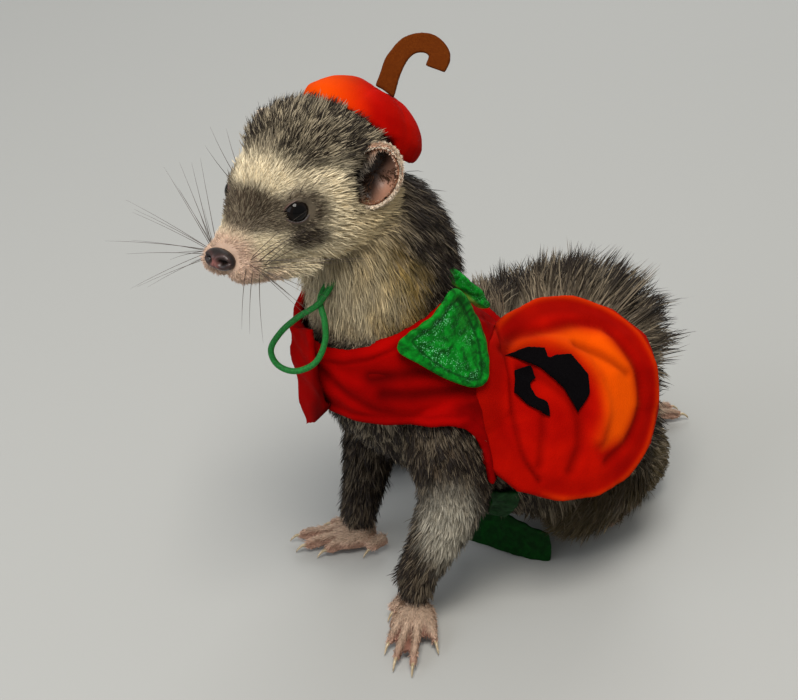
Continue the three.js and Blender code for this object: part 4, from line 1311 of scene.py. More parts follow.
def node(tree: bpy.types.NodeTree, kind: str, inputs: dict[Any, Any] | None = None,
         **settings: Any) -> bpy.types.Node:
    """Adds a shader node.

    Args:
        tree: the node tree.
        kind: the node's type name.
        inputs: values or sockets for its inputs, by name or number.
        settings: the node's own properties.
    Returns:
        The new node.
    """
    made = tree.nodes.new(kind)
    for name, value in settings.items():
        setattr(made, name, value)
    for name, value in (inputs or {}).items():
        if isinstance(value, bpy.types.NodeSocket):
            tree.links.new(value, made.inputs[name])
        else:
            made.inputs[name].default_value = value
    return made


@dataclass
class Shader:
    """A material under construction: its tree, its Principled node and where its patterns live."""

    name: str
    material: bpy.types.Material = field(init=False)
    tree: bpy.types.NodeTree = field(init=False)
    principled: bpy.types.Node = field(init=False)
    place: bpy.types.NodeSocket = field(init=False)

    def __post_init__(self) -> None:
        """Starts the material."""
        self.material = bpy.data.materials.new(self.name)
        self.material.use_nodes = True
        self.tree = self.material.node_tree
        self.principled = self.tree.nodes["Principled BSDF"]
        self.place = self.add("ShaderNodeTexCoord").outputs["Object"]

    def add(self, kind: str, inputs: dict[Any, Any] | None = None, **settings: Any) -> bpy.types.Node:
        """Adds a node to this material."""
        return node(self.tree, kind, inputs, **settings)

    def noise(self, size_mm: float, detail: float = 3, distortion: float = 0) -> bpy.types.NodeSocket:
        """Noise whose features are about a given size."""
        scale = 1 / (size_mm * MM)
        inputs = {"Vector": self.place, "Scale": scale, "Detail": detail, "Distortion": distortion}
        return self.add("ShaderNodeTexNoise", inputs).outputs["Fac"]

    def cells(self, size_mm: float) -> bpy.types.NodeSocket:
        """The distance from the middles of cells of about a given size."""
        inputs = {"Vector": self.place, "Scale": 1 / (size_mm * MM)}
        return self.add("ShaderNodeTexVoronoi", inputs).outputs["Distance"]

    def between(self, factor: bpy.types.NodeSocket, low: str, high: str, start: float = 0.35,
                stop: float = 0.65) -> bpy.types.NodeSocket:
        """A colour that goes from one hex colour to another as a factor rises."""
        made = self.add("ShaderNodeValToRGB", {"Fac": factor})
        for element, position, colour in zip(made.color_ramp.elements, (start, stop), (low, high)):
            element.position = position
            element.color = hex_linear(colour)
        return made.outputs["Color"]

    def blend(self, factor: Any, low: Any, high: Any, blend_type: str = "MIX") -> bpy.types.NodeSocket:
        """Mixes two colours."""
        return self.add("ShaderNodeMixRGB", {0: factor, 1: low, 2: high}, blend_type=blend_type).outputs[0]

    def set(self, **values: Any) -> None:
        """Sets or links inputs of the Principled node, with _ for a space in a name."""
        for name, value in values.items():
            socket = self.principled.inputs[name.replace("_", " ")]
            if isinstance(value, bpy.types.NodeSocket):
                self.tree.links.new(value, socket)
            else:
                socket.default_value = value

    def relief(self, *layers: tuple[bpy.types.NodeSocket, float, float]) -> None:
        """Bumps the surface by layers of height, strength and depth in millimetres."""
        under = None
        for height, strength, depth in layers:
            inputs = {"Height": height, "Strength": strength, "Distance": depth * MM}
            if under is not None:
                inputs["Normal"] = under
            under = self.add("ShaderNodeBump", inputs).outputs["Normal"]
        self.set(Normal=under)

    def attribute(self, name: str) -> bpy.types.Node:
        """Reads a colour or number stored on the mesh."""
        return self.add("ShaderNodeAttribute", attribute_name=name)


@dataclass(frozen=True)
class FurFinish:
    """Hair: the colour stored on each blade, with a soft silky gloss."""

    roughness: float = 0.5

    def material(self) -> bpy.types.Material:
        """Builds the material."""
        s = Shader("ferret_hair")
        s.set(Base_Color=s.attribute("coat").outputs["Color"], Roughness=self.roughness, IOR=1.55,
              Specular_IOR_Level=0.12)
        return s.material


@dataclass(frozen=True)
class SkinFinish:
    """The hide under the coat: the coat's own markings, broken by short flat hairs."""

    def material(self) -> bpy.types.Material:
        """Builds the material."""
        s = Shader("ferret_skin")
        fine = s.noise(0.35, 4)
        patchy = s.noise(3.5, 3)
        colour = s.blend(s.between(patchy, "000000", "595959"), s.attribute("coat").outputs["Color"],
                         hex_linear("2a1d16"))
        s.set(Base_Color=colour, Roughness=0.62, IOR=1.42, Specular_IOR_Level=0.35, Subsurface_Weight=0.06,
              Subsurface_Radius=(0.0012, 0.0006, 0.0004))
        s.relief((fine, 0.5, 0.18), (s.noise(1.4, 3), 0.4, 0.3))
        return s.material


@dataclass(frozen=True)
class EyeFinish:
    """A wet, nearly black eye with a faint brown iris."""

    def material(self) -> bpy.types.Material:
        """Builds the material."""
        s = Shader("wet_eye")
        colour = s.between(s.attribute("iris").outputs["Fac"], "030202", "0c0604", 0.2, 0.8)
        s.set(Base_Color=colour, Roughness=0.04, IOR=1.38, Specular_IOR_Level=0.25)
        return s.material


@dataclass(frozen=True)
class BareSkinFinish:
    """Bare skin, such as a nose pad or an eyelid: pebbled, slightly moist."""

    name: str
    dark: str
    light: str
    pebble_mm: float = 0.5
    roughness: float = 0.42

    def material(self) -> bpy.types.Material:
        """Builds the material."""
        s = Shader(self.name)
        base = s.blend(s.attribute("tint").outputs["Fac"], hex_linear(self.dark), hex_linear(self.light))
        mottled = s.blend(s.between(s.noise(1.1, 3), "000000", "383838"), base, hex_linear(self.dark))
        s.set(Base_Color=mottled, Roughness=self.roughness, IOR=1.42, Subsurface_Weight=0.04,
              Subsurface_Radius=(0.001, 0.0005, 0.0003), Coat_Weight=0.1, Coat_Roughness=0.25)
        s.relief((s.cells(self.pebble_mm), 0.5, 0.12), (s.noise(0.3, 3), 0.3, 0.05))
        return s.material


@dataclass(frozen=True)
class ClawFinish:
    """Pale horn that darkens a little to its root."""

    def material(self) -> bpy.types.Material:
        """Builds the material."""
        s = Shader("claw_horn")
        s.set(Base_Color=s.between(s.noise(1.2, 2), "92805f", "bba98a"), Roughness=0.3, IOR=1.54,
              Subsurface_Weight=0.15, Subsurface_Radius=(0.001, 0.0007, 0.0005), Coat_Weight=0.2)
        s.relief((s.noise(0.25, 2), 0.25, 0.05))
        return s.material


@dataclass(frozen=True)
class PileFinish:
    """A pile cloth such as velour or plush, whose lie turns lighter and darker in patches."""

    name: str
    deep: str
    light: str
    # The dark colour of the pile's specks, and the colour of the shade painted where the mesh asks for it.
    edge: str
    patch_mm: float
    pile_mm: float
    depth_mm: float
    # The colour of the painted highlight, laid where the mesh asks for it.
    accent: str = ""

    def material(self) -> bpy.types.Material:
        """Builds the material."""
        s = Shader(self.name)
        patches = s.between(s.noise(self.patch_mm, 2, 0.2), self.deep, self.light, 0.3, 0.7)
        pile = s.noise(self.pile_mm, 4)
        flecks_and_highlight = s.blend(s.between(pile, "303030", "000000", 0.3, 0.6), patches, hex_linear(self.edge))
        # Painted highlight: the lit parts of the plush take this colour.
        if self.accent:
            flecks_and_highlight = s.blend(s.attribute("accent").outputs["Fac"], flecks_and_highlight, hex_linear(self.accent))
        # Painted shade: the edge colour laid over folds, creases and shaded parts, as much as the mesh's
        # shade attribute asks.
        shade_attribute_mix = s.blend(s.attribute("shade").outputs["Fac"], flecks_and_highlight, hex_linear(self.edge))
        s.set(Base_Color=shade_attribute_mix, Roughness=0.85, IOR=1.46, Specular_IOR_Level=0.03)
        s.relief((s.noise(self.patch_mm * 0.4, 2), 0.3, 0.5), (pile, 0.8, self.depth_mm))
        return s.material


@dataclass(frozen=True)
class CrushedVelvetFinish:
    """Green crushed velvet: dark and pale streaks of flattened pile with fine sparkles, painted in as glints.
    """

    name: str = "crushed_velvet_green"
    deep: str = "004a0c"
    light: str = "008a1e"
    edge: str = "012c08"
    sparkle: str = "8cf0b0"

    def material(self) -> bpy.types.Material:
        """Builds the material."""
        s = Shader(self.name)
        crushed = s.noise(2.6, 4, 0.4)
        streaks = s.between(crushed, self.deep, self.light, 0.38, 0.66)
        # Painted glints: pale specks laid into the colour in patches, as much as the mesh asks for.
        glint = s.between(s.cells(0.55), "ffffff", "000000", 0.2, 0.42)
        patch = s.between(s.noise(2.2, 4), "000000", "ffffff", 0.42, 0.6)
        glint_share = s.blend(1.0, glint, patch, "MULTIPLY")
        glint_share = s.blend(1.0, glint_share, s.attribute("accent").outputs["Fac"], "MULTIPLY")
        lit = s.blend(glint_share, streaks, hex_linear(self.sparkle))
        # The edge colour, where the mesh's shade attribute asks for it.
        shade_attribute_mix = s.blend(s.attribute("shade").outputs["Fac"], lit, hex_linear(self.edge))
        gloss = s.add("ShaderNodeMapRange", {"Value": crushed, "From Min": 0.35, "From Max": 0.7,
                                             "To Min": 0.66, "To Max": 0.42})
        s.set(Base_Color=shade_attribute_mix, Roughness=gloss.outputs["Result"], IOR=1.5, Specular_IOR_Level=0.1)
        s.relief((crushed, 0.4, 0.4), (s.noise(0.35, 3), 0.6, 0.12))
        return s.material


@dataclass(frozen=True)
class FeltFinish:
    """Pressed felt: matt, with crossing fibres."""

    name: str
    deep: str
    light: str

    def material(self) -> bpy.types.Material:
        """Builds the material."""
        s = Shader(self.name)
        fibres = s.noise(0.5, 6, 2.5)
        s.set(Base_Color=s.between(fibres, self.deep, self.light), Roughness=0.93, IOR=1.45,
              Specular_IOR_Level=0.03)
        s.relief((fibres, 0.6, 0.14), (s.noise(4, 2), 0.3, 0.3))
        return s.material


@dataclass(frozen=True)
class ElasticFinish:
    """Round elastic covered in braided green yarn."""

    def material(self) -> bpy.types.Material:
        """Builds the material."""
        s = Shader("braided_elastic")
        braid = s.cells(0.55)
        colour = s.between(braid, "0f7d2c", "0a5c20", 0.1, 0.7)
        s.set(Base_Color=colour, Roughness=0.6, IOR=1.5, Specular_IOR_Level=0.3)
        s.relief((braid, 0.5, 0.08))
        return s.material


@dataclass(frozen=True)
class WhiskerFinish:
    """A stiff, dark, slightly glossy bristle."""

    def material(self) -> bpy.types.Material:
        """Builds the material."""
        s = Shader("whisker")
        s.set(Base_Color=hex_linear("3a2e24"), Roughness=0.4, IOR=1.55)
        return s.material


@dataclass(frozen=True)
class PaperFinish:
    """A pale sweep of studio paper."""

    def material(self) -> bpy.types.Material:
        """Builds the material."""
        s = Shader("studio_paper")
        s.set(Base_Color=hex_linear("a6a7a5"), Roughness=0.9, IOR=1.4, Specular_IOR_Level=0.1)
        return s.material


# Camera, light and cord

@dataclass(frozen=True)
class Studio:
    """The photograph's view of the animal, on a pale floor in soft light."""

    eye: tuple[float, float, float] = (440.66, -314.41, 397.95)
    azimuth: float = 64.0014
    elevation: float = 31.7918
    roll: float = -2.124
    focal_pixels: float = 1701.39
    sensor_mm: float = 36
    floor_reach: float = 3000
    aim: tuple[float, float, float] = (0, -0.06, 0.08)

    def camera(self) -> bpy.types.Object:
        """Sets up the camera, whose sensor is the photograph's width."""
        az, el, roll = (math.radians(x) for x in (self.azimuth, self.elevation, self.roll))
        back = np.array([math.sin(az) * math.cos(el), -math.cos(az) * math.cos(el), math.sin(el)])
        right = np.array([math.cos(az), math.sin(az), 0])
        up = np.cross(back, right)
        turned_right = right * math.cos(roll) + up * math.sin(roll)
        turned_up = up * math.cos(roll) - right * math.sin(roll)
        data = bpy.data.cameras.new("camera")
        data.sensor_width = self.sensor_mm
        data.sensor_fit = "HORIZONTAL"
        data.lens = self.focal_pixels / IMAGE_SIZE[0] * self.sensor_mm
        data.clip_start = 0.01
        made = bpy.data.objects.new("camera", data)
        place = np.eye(4)
        place[:3, 0], place[:3, 1], place[:3, 2] = turned_right, turned_up, back
        place[:3, 3] = np.array(self.eye) * MM
        made.matrix_world = Matrix(place.tolist())
        bpy.context.scene.collection.objects.link(made)
        bpy.context.scene.camera = made
        return made

    def light(self, name: str, at: Sequence[float], size: float, power: float, colour: str) -> None:
        """Adds a soft square light that faces the animal."""
        data = bpy.data.lights.new(name, "AREA")
        data.size = size
        data.energy = power
        data.color = hex_linear(colour)[:3]
        made = bpy.data.objects.new(name, data)
        place = Vector(at)
        made.location = place
        made.rotation_euler = (place - Vector(self.aim)).to_track_quat("Z", "Y").to_euler()
        bpy.context.scene.collection.objects.link(made)

    def build(self) -> None:
        """Makes the camera, floor, lights and sky."""
        self.camera()
        corners = self.floor_reach * np.array([(-1, -1, 0), (1, -1, 0), (1, 1, 0), (-1, 1, 0)])
        floor = mesh_object("studio_floor", corners, np.array([(0, 1, 2, 3)]), smooth=False)
        floor.data.materials.append(PaperFinish().material())
        self.light("key", (0.45, -0.35, 1.25), 0.5, 15, "fffaf2")
        self.light("fill", (0.1, -1.3, 0.7), 1.0, 6, "f2f6ff")
        self.light("rim", (-0.9, 0.7, 0.9), 0.8, 7, "ffffff")
        bpy.context.scene.view_settings.view_transform = "Standard"
        world = bpy.data.worlds.new("studio_air")
        world.use_nodes = True
        sky = world.node_tree.nodes["Background"]
        sky.inputs["Color"].default_value = hex_linear("f2f2f0")
        sky.inputs["Strength"].default_value = 0.5
        bpy.context.scene.world = world


@dataclass(frozen=True)
class ChinCord:
    """The thin elastic that holds the cap: one loop that hangs at the throat, its ends in the fur."""

    radius: float = 1.0
    line: tuple[tuple[float, float, float], ...] = (
        (7.2, -125, 134.6), (10.4, -131.6, 129), (15, -132.6, 123.2), (16.6, -133.6, 116.6),
        (16.6, -137.4, 110), (13.6, -143.2, 107), (9.4, -147.4, 108.4), (6.6, -148.2, 113),
        (7, -144.4, 118.6), (9.2, -139.2, 123.6), (12.4, -133.2, 128.4), (10.6, -126.4, 134),
    )

    def build(self) -> bpy.types.Object:
        """Makes the cord."""
        route = spline(self.line, 10)
        data = bpy.data.curves.new("chin_elastic", "CURVE")
        data.dimensions = "3D"
        data.bevel_depth = self.radius * MM
        data.bevel_resolution = 5
        data.use_fill_caps = True
        run = data.splines.new("POLY")
        run.points.add(len(route) - 1)
        run.points.foreach_set("co", np.column_stack([route * MM, np.ones(len(route))]).ravel())
        run.use_smooth = True
        made = bpy.data.objects.new("chin_elastic", data)
        bpy.context.scene.collection.objects.link(made)
        made.data.materials.append(ElasticFinish().material())
        dress(made, "elastic_green", "chin_cord")
        return made


def dress(piece: bpy.types.Object, slot: str, *nodes: str) -> None:
    """Lets a piece ride on the model and stand for solids, which it hides."""
    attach(piece, "root")
    if nodes:
        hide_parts(*nodes)


# The head's own pieces

@dataclass
class Eye:
    """One glossy eye, and the thin dark lids that lie over it.

    The opening is the slit's half width, top and bottom. The lid's profile gives how far out from the slit
    each row lies, how high over the eyeball, and how light it is.
    """

    side: Side
    columns: int = 48
    opening: tuple[float, float, float] = (4.9, 2.9, -2.8)
    profile: tuple[tuple[float, float, float], ...] = (
        (0.0, 0.1, 0), (0.02, 0.4, 0), (0.12, 0.6, 0.5), (0.3, 0.64, 1), (0.55, 0.5, 0.7), (0.9, 0.36, 0.3),
        (1.4, 0.1, 0.1), (2.0, -0.6, 0))

    def placed(self, points: Array) -> Array:
        """Points from the eye's frame in the model's."""
        return moved(eye_plane(self.side).back(points), HEAD_PLACE)

    def ball(self) -> bpy.types.Object:
        """The eyeball, with the share of iris at each corner."""
        form = BallForm((0, 0, 0), (EYE_RADIUS,) * 3, rows=40, sides=56)
        points, faces = outward(form.mesh())
        turned_points = points[:, [0, 2, 1]] * (1, -1, 1)
        made = mesh_object(f"eyeball_{self.side.word}", self.placed(turned_points), faces)
        off = np.hypot(turned_points[:, 0], turned_points[:, 1])
        ring = ramp(off, 1.9, 2.3) * (1 - ramp(off, 3.4, 3.8))
        number_points(made, "iris", ring * (turned_points[:, 2] > 0))
        return made

    def slit(self, turn: Array) -> Array:
        """The almond edge between the lids as flat points at angles round it."""
        half, top, low = self.opening
        x = half * np.cos(turn)
        y = np.where(np.sin(turn) > 0, top, -low) * np.sin(turn) * (1 - 0.12 * np.cos(2 * turn))
        return np.stack([x, y], axis=1)

    def lids(self) -> bpy.types.Object:
        """A rolled rim round the slit that runs out into the fur."""
        turn = np.linspace(0, 2 * math.pi, self.columns, endpoint=False)
        edge = self.slit(turn)
        rows = []
        for out, rise, _ in self.profile:
            flat = edge * (1 + out / np.linalg.norm(edge, axis=1, keepdims=True))
            bent = np.minimum(np.linalg.norm(flat, axis=1) / EYE_RADIUS, 1.45)[:, None]
            rows.append((EYE_RADIUS + rise) * np.column_stack([unit(flat) * np.sin(bent), np.cos(bent)]))
        points = self.placed(np.vstack(rows))
        made = mesh_object(f"eyelids_{self.side.word}", points, grid_faces(len(rows), self.columns, True))
        number_points(made, "tint", np.repeat([light for _, _, light in self.profile], self.columns))
        return made

    def build(self) -> None:
        """Makes the eye and its lids."""
        ball = self.ball()
        ball.data.materials.append(EyeFinish().material())
        dress(ball, "eye", f"eye_{self.side.word}")
        lids = self.lids()
        lids.data.materials.append(BareSkinFinish("eyelid_skin", "1d1410", "5a4238", 0.3).material())
        dress(lids, "skin")


@dataclass
class Nose:
    """The nose pad: dark and pebbled, pinker in the middle, with two comma-shaped nostrils."""

    size: tuple[float, float, float] = (5.3, 3.2, 3.5)
    stretch: tuple[float, float, float] = (1.04, 0.95, 0.95)
    shift: tuple[float, float, float] = (0, 0.4, -0.2)

    def build(self) -> None:
        """Makes the pad."""
        points, faces = outward(BallForm((0, 0, 0), self.size, rows=56, sides=72).mesh())
        x, y, z = points.T
        front = ramp(-y, 0.2, 1.6)
        side = np.abs(x)
        bore = bump(np.hypot((side - 2.3) / 1.1, (z - 0.3) / 0.95), 0, 1) * front
        wing = np.hypot((side - 3.6) / 1.3, (z - 0.75 + 0.25 * (side - 3.6)) / 0.42)
        comma = bump(wing, 0, 1) * ramp(-y, -0.6, 0.8)
        split = bump(x, 0, 0.4) * front * (1 - ramp(z, 0.5, 2.2))
        rim = bump(np.hypot(side - 2.5, z - 0.3), 2.2, 0.6) * front
        push = 2.4 * bore + 1.5 * comma + 0.45 * split - 0.3 * rim
        normal = vertex_normals(points, faces)
        points = points - normal * push[:, None] * (0.6, 1, 0.6)
        points[:, 1] = np.maximum(points[:, 1], -3.2 + 0.05 * z ** 2)
        points = points * self.stretch + np.array(NOSE_AT) + self.shift
        made = mesh_object("nose_pad", moved(points, HEAD_PLACE), faces)
        pink = bump(x, 0, 1.3) * bump(z, -0.4, 1.6) * front * (1 - 0.8 * bore)
        number_points(made, "tint", np.clip(pink + 0.1 * rim, 0, 1))
        made.data.materials.append(BareSkinFinish("nose_leather", "140b08", "8a5650", 0.42, 0.4).material())
        dress(made, "skin", "nose")


@dataclass
class Ear:
    """A small cupped ear: furred behind, bare and folded inside, with a pale rim."""

    side: Side
    rows: int = 22
    columns: int = 64
    size: tuple[float, float, float] = (7.9, 5.4, 10.3)
    middle: float = 3
    mouth: float = -0.30
    hairs: int = 5600

    def build(self) -> None:
        """Makes the cup of the ear."""
        steps = np.linspace(0, 1, self.rows)
        rings = [(step, 0) for step in steps] + [(step, 1) for step in steps[::-1]]
        grid = np.vstack([self.ring(step, inside) for step, inside in rings])
        faces = triangles(grid_faces(2 * self.rows, self.columns, True))
        points, faces = outward((moved(grid, self.place()), faces))
        made = mesh_object(f"ear_shell_{self.side.word}", points, faces)
        # Only the rim and one inner side are light; the rest of the shell keeps the dark colour, painted
        # shade in the cup's hollow.
        lip = np.concatenate([1 - ramp(steps, 0.02, 0.3), 1 - ramp(steps[::-1], 0.04, 0.3)])
        rosy = 0.5 * ramp(self.side.value * grid[:, 0], 0.5, 6) * (np.arange(len(grid)) >= len(grid) // 2)
        number_points(made, "tint", np.maximum(np.repeat(lip, self.columns), rosy))
        finish = BareSkinFinish(f"ear_skin_{self.side.word}", "1e100a", "d9a084", 0.6, 0.5)
        made.data.materials.append(finish.material())
        dress(made, "fur_cream", f"ear_{self.side.word}")

    def ring(self, step: float, inside: int) -> Array:
        """One ring of the shell, from the rim at step 0 to the back, plain outside and folded inside."""
        turn = np.linspace(0, 2 * math.pi, self.columns, endpoint=False)
        wide, deep, high = np.array(self.size) - inside * np.array((1, 1.1, 1))
        wave = np.cos(self.tilt(step)) * (1 + 0.03 * np.sin(3 * turn + 0.6) + 0.02 * np.sin(5 * turn))
        fold = inside * 0.7 * np.sin(4 * turn + 2.5 * step) * np.sin(math.pi * step)
        return np.stack([(wide * wave + fold * 0.6) * np.cos(turn),
                         deep * np.sin(self.tilt(step)) - 0.25 * inside + fold * 0.5,
                         self.middle + (high * wave + fold * 0.6) * np.sin(turn)], axis=1)

    def place(self) -> Array:
        """The frame of this ear in the model, a little ahead of its solid's to make room for the fuzz."""
        return HEAD_PLACE @ shifted((-0.4 * self.side.value, -1.4, 0.2)) @ ear_place(self.side)

    def tilt(self, step: Array | float) -> Array | float:
        """The slant of the shell from its rim, at step 0, to its back."""
        return self.mouth + step * (math.pi / 2 - self.mouth)

    def fuzz(self, coat: Coat, random: np.random.Generator) -> None:
        """Grows short hair, palest and thickest along the rim, and dark in the front of the cup.

        Args:
            coat: the coat that makes the blades.
            random: the source of chance.
        """
        count = self.hairs
        inside = np.arange(count) < 0.42 * count
        step = np.where(inside, random.beta(1, 1.5, count), random.beta(0.7, 2.4, count))
        turn = random.uniform(0, 2 * math.pi, count)
        tilt = self.tilt(step)
        wide, deep, high = (size - inside * thick for size, thick in zip(self.size, (1, 1.35, 1)))
        sine, cosine = np.sin(tilt), np.cos(tilt)
        at = np.stack([wide * cosine * np.cos(turn), deep * sine, high * cosine * np.sin(turn)], axis=1)
        normal = np.stack([cosine * np.cos(turn) / wide, sine / deep, cosine * np.sin(turn) / high], axis=1)
        normal *= np.where(inside, -1, 1)[:, None]
        lie = np.stack([wide * sine * np.cos(turn), -deep * cosine, high * sine * np.sin(turn)], axis=1)
        spin = self.place()[:3, :3]
        place = np.stack([0.48 * step + 0.5 * inside, turn / (2 * math.pi)], axis=1) * CELL_SPAN + CELL_EDGE
        atlas = (np.array(EAR_CELLS[self.side]) + place) / ATLAS_SIDE
        # Deeper in the cup the hair is painted darker, as shade in the hollow.
        back = ramp(step, 0.2, 0.55)
        behind = ramp(step, 0.36, 0.7)
        forward = self.side.value * np.cos(turn) * (1 - 0.5 * step) + 0.25 * np.sin(turn)
        front = 1 - ramp(forward, -0.75, 0.0)
        cup_root = mix(rgb("a8643c"), Tone.BLACK.linear, np.maximum(front, back))
        cup_tip = mix(rgb("d9a078"), rgb("2a1810"), np.maximum(front, 0.8 * back))
        cup_tip = mix(cup_tip, Tone.WHITE.linear, (1 - ramp(step, 0.02, 0.22)) * (1 - 0.6 * front))
        outer_root = mix(rgb("f0dcc4"), Tone.UMBER.linear, behind)
        outer_tip = mix(rgb("fff6e6"), Tone.SABLE.linear, 0.85 * behind)
        choose = inside[:, None]
        length = np.where(inside, 1.2 + 3.8 * front * (1 - 0.5 * step), 1.6 + 2.0 * behind)
        lift = np.where(inside, 0.2 + 0.3 * front, 0.3 + 0.05 * back)
        even = np.full(count, 1.0)
        at = moved(at + (0, 0, self.middle), self.place())
        roots = Roots(at, unit(normal) @ spin.T, unit(lie) @ spin.T, atlas, length, lift,
                      0.24 * even, 0.2 * even, 0.04 * even, np.where(choose, cup_root, outer_root),
                      np.where(choose, cup_tip, outer_tip), np.full(count, PartKind.EAR.value))
        for piece in coat.blades(roots, EAR_FUZZ, random):
            piece.name = f"{piece.name}_{self.side.word}"
            dress(piece, "fur_cream")


@dataclass
class TaperedStrands:
    """Round hairs or claws that follow curves and run to a point, gathered one by one into one mesh."""

    name: str
    sides: int
    meshes: list[tuple[Array, Array]] = field(default_factory=list)

    def add(self, line: Array, radius: Array) -> None:
        """Adds a strand through some points, with a radius for each."""
        ahead = unit(np.gradient(line, axis=0))
        side = unit(np.cross(ahead, (0.3, 0.2, 0.93)) + 1e-6)
        over = np.cross(side, ahead)
        turn = np.linspace(0, 2 * math.pi, self.sides, endpoint=False)[:, None]
        ring = side[:, None] * np.cos(turn) + over[:, None] * np.sin(turn)
        points = line[:, None] + ring * radius[:, None, None]
        self.meshes.append((points.reshape(-1, 3), triangles(grid_faces(len(line), self.sides, True))))

    def build(self) -> bpy.types.Object:
        """Makes the piece."""
        return mesh_object(self.name, *joined(self.meshes))


@dataclass
class Whiskers:
    """Long dark whiskers from the muzzle pads, with shorter ones over the eyes and on the chin."""

    random: np.random.Generator = field(default_factory=lambda: np.random.default_rng(4))
    strands: TaperedStrands = field(default_factory=lambda: TaperedStrands("whiskers", 4))

    def build(self) -> None:
        """Makes the whiskers, a set on each side."""
        for side in Side:
            for toward, length in WHISKERS:
                for row in range(3):
                    root = (6.8 + 0.7 * row, -41.8 + 1.9 * row, -8.2 - 1.7 * row)
                    long = length * self.random.uniform(0.62, 1)
                    self.strand(side, root, toward, (0.05, 0.12, -0.24), long)
            for row in range(3):
                toward = (0.5, -0.5 + 0.3 * row, 0.9)
                long = self.random.uniform(12, 18)
                self.strand(side, (11.5 + row, -27 + 3 * row, 8.2), toward, (0.3, 0.5, -0.1), long)
        made = self.strands.build()
        made.data.materials.append(WhiskerFinish().material())
        dress(made, "fur_cream")

    def strand(self, side: Side, root: Sequence[float], toward: Sequence[float], droop: Sequence[float],
               length: float) -> None:
        """Adds one whisker, curved along its droop, from places in the head's frame for the left.

        Args:
            side: the side it is on.
            root: where it leaves the skin.
            toward: the direction it leaves in.
            droop: the direction it bends to.
            length: its length.
        """
        t = np.linspace(0, 1, 14)[:, None]
        out = unit(unit(side.mirrored(toward)) + self.random.normal(0, 0.06, 3))
        line = side.mirrored(root) + out * length * t + side.mirrored(droop) * length * 0.45 * t ** 2
        self.strands.add(moved(line, HEAD_PLACE), 0.14 * (1 - 0.85 * t[:, 0]))


@dataclass
class Claws:
    """Twenty pale curved claws, one from each toe.

    The course is how far ahead of the toe's end and how high the claw runs, and the taper is its radius by
    the share of its length.
    """

    course: tuple[tuple[float, float], ...] = ((-1.5, 3.6), (0.8, 3.6), (2.0, 2.9), (3.0, 1.9), (3.6, 0.8))
    taper: tuple[tuple[float, float], ...] = ((0, 0.66), (0.4, 0.56), (0.8, 0.34), (1, 0.07))

    def build(self) -> None:
        """Makes the claws of all four feet."""
        strands = TaperedStrands("claws", 10)
        radius = np.interp(np.linspace(0, 1, 14), *zip(*self.taper))
        for foot in FEET.values():
            for toe in TOES:
                line = [toe.spot(toe.length + ahead, height, foot.side) for ahead, height in self.course]
                strands.add(moved(resampled(spline(line, 8), 14), foot.matrix()), radius)
        made = strands.build()
        made.data.materials.append(ClawFinish().material())
        dress(made, "skin")


FRAME: dict[str, Any] = {}


class Held(Enum):
    """How a sheet of cloth keeps its form."""

    DRAPED = "draped"
    FOLDED = "folded"
    LAID = "laid"
    STRETCHED = "stretched"


@dataclass(frozen=True)
class Cloth:
    """The size that a sheet was cut to, in millimetres and their squares, and what it rests on."""

    width: float
    length: float
    area: float
    held: Held
    rests_on: tuple[str, ...]

    def declare(self, piece: bpy.types.Object) -> None:
        """Takes a piece as this sheet and does nothing with it."""


@dataclass(frozen=True)
class Padding:
    """How full a stuffed piece is, from 0 to 1."""

    fill: float

    def declare(self, piece: bpy.types.Object) -> None:
        """Takes a padded piece and does nothing with it."""


@dataclass
class Garment:
    """A soft piece cut from the space of its solid, then smoothed, crowned and folded."""

    name: str
    node: str
    slot: str
    finish: Any
    voxel: float
    rounds: int = 3
    shift: tuple[float, ...] = (0, 0, 0)
    cloth: Cloth | Padding | None = None
    plane: ClassVar[Plane] = PICTURE

    def mesh(self) -> tuple[Array, Array]:
        """The solid as an even mesh of small quads, cut to shape."""
        source = FRAME["nodes"][self.node].data
        source.calc_loop_triangles()
        points = read_array(source.vertices, "co", 3).reshape(-1, 3).astype(float) / MM
        faces = read_array(source.loop_triangles, "vertices", 3, np.int32).reshape(-1, 3)
        points, faces = voxel_union([(points, faces)], self.voxel)
        return self.plane.back(self.cut(self.plane.flat(points), faces)), faces

    def cut(self, flat: Array, faces: Array) -> Array:
        """The cloth's corners as they lie in its plane, moved where the real one has another outline."""
        return flat

    def relief(self, points: Array, normal: Array) -> tuple[Array, Array, Array]:
        """How far each corner moves out, how much of the finish's edge colour it takes (painted shade on most
        pieces) and how much painted highlight it has.

        Args:
            points: corners.
            normal: their normals.
        Returns:
            Three rows of numbers.
        """
        none = np.zeros(len(points))
        return none, none, none

    def build(self) -> bpy.types.Object:
        """Makes the piece."""
        points, faces = self.mesh()
        points = relaxed(points + np.array(self.shift), faces, self.rounds, 0.55)
        normal = vertex_normals(points, triangles(faces))
        out, shade, accent = self.relief(points, normal)
        points = points + normal * out[:, None]
        points = relaxed(points, faces, 1, 0.3)
        points[:, 2] = np.maximum(points[:, 2], 0.1)
        made = mesh_object(self.name, points, faces)
        number_points(made, "shade", shade)
        number_points(made, "accent", accent)
        made.data.materials.append(self.finish.material())
        dress(made, self.slot, self.node)
        if self.cloth:
            self.cloth.declare(made)
        return made


def folds(points: Array, across: Sequence[float], size: float, seed: float = 0.0) -> Array:
    """Long soft folds that run across a direction, uneven along their length."""
    along = points @ unit(np.array(across, float))
    drift = np.sin(points @ np.array([0.11, 0.07, 0.13]) + seed) * size * 0.35
    wave = np.sin(2 * math.pi * (along + drift) / size + seed)
    return wave * (0.6 + 0.4 * np.sin(points @ np.array([0.17, -0.12, 0.09]) + 2 * seed))


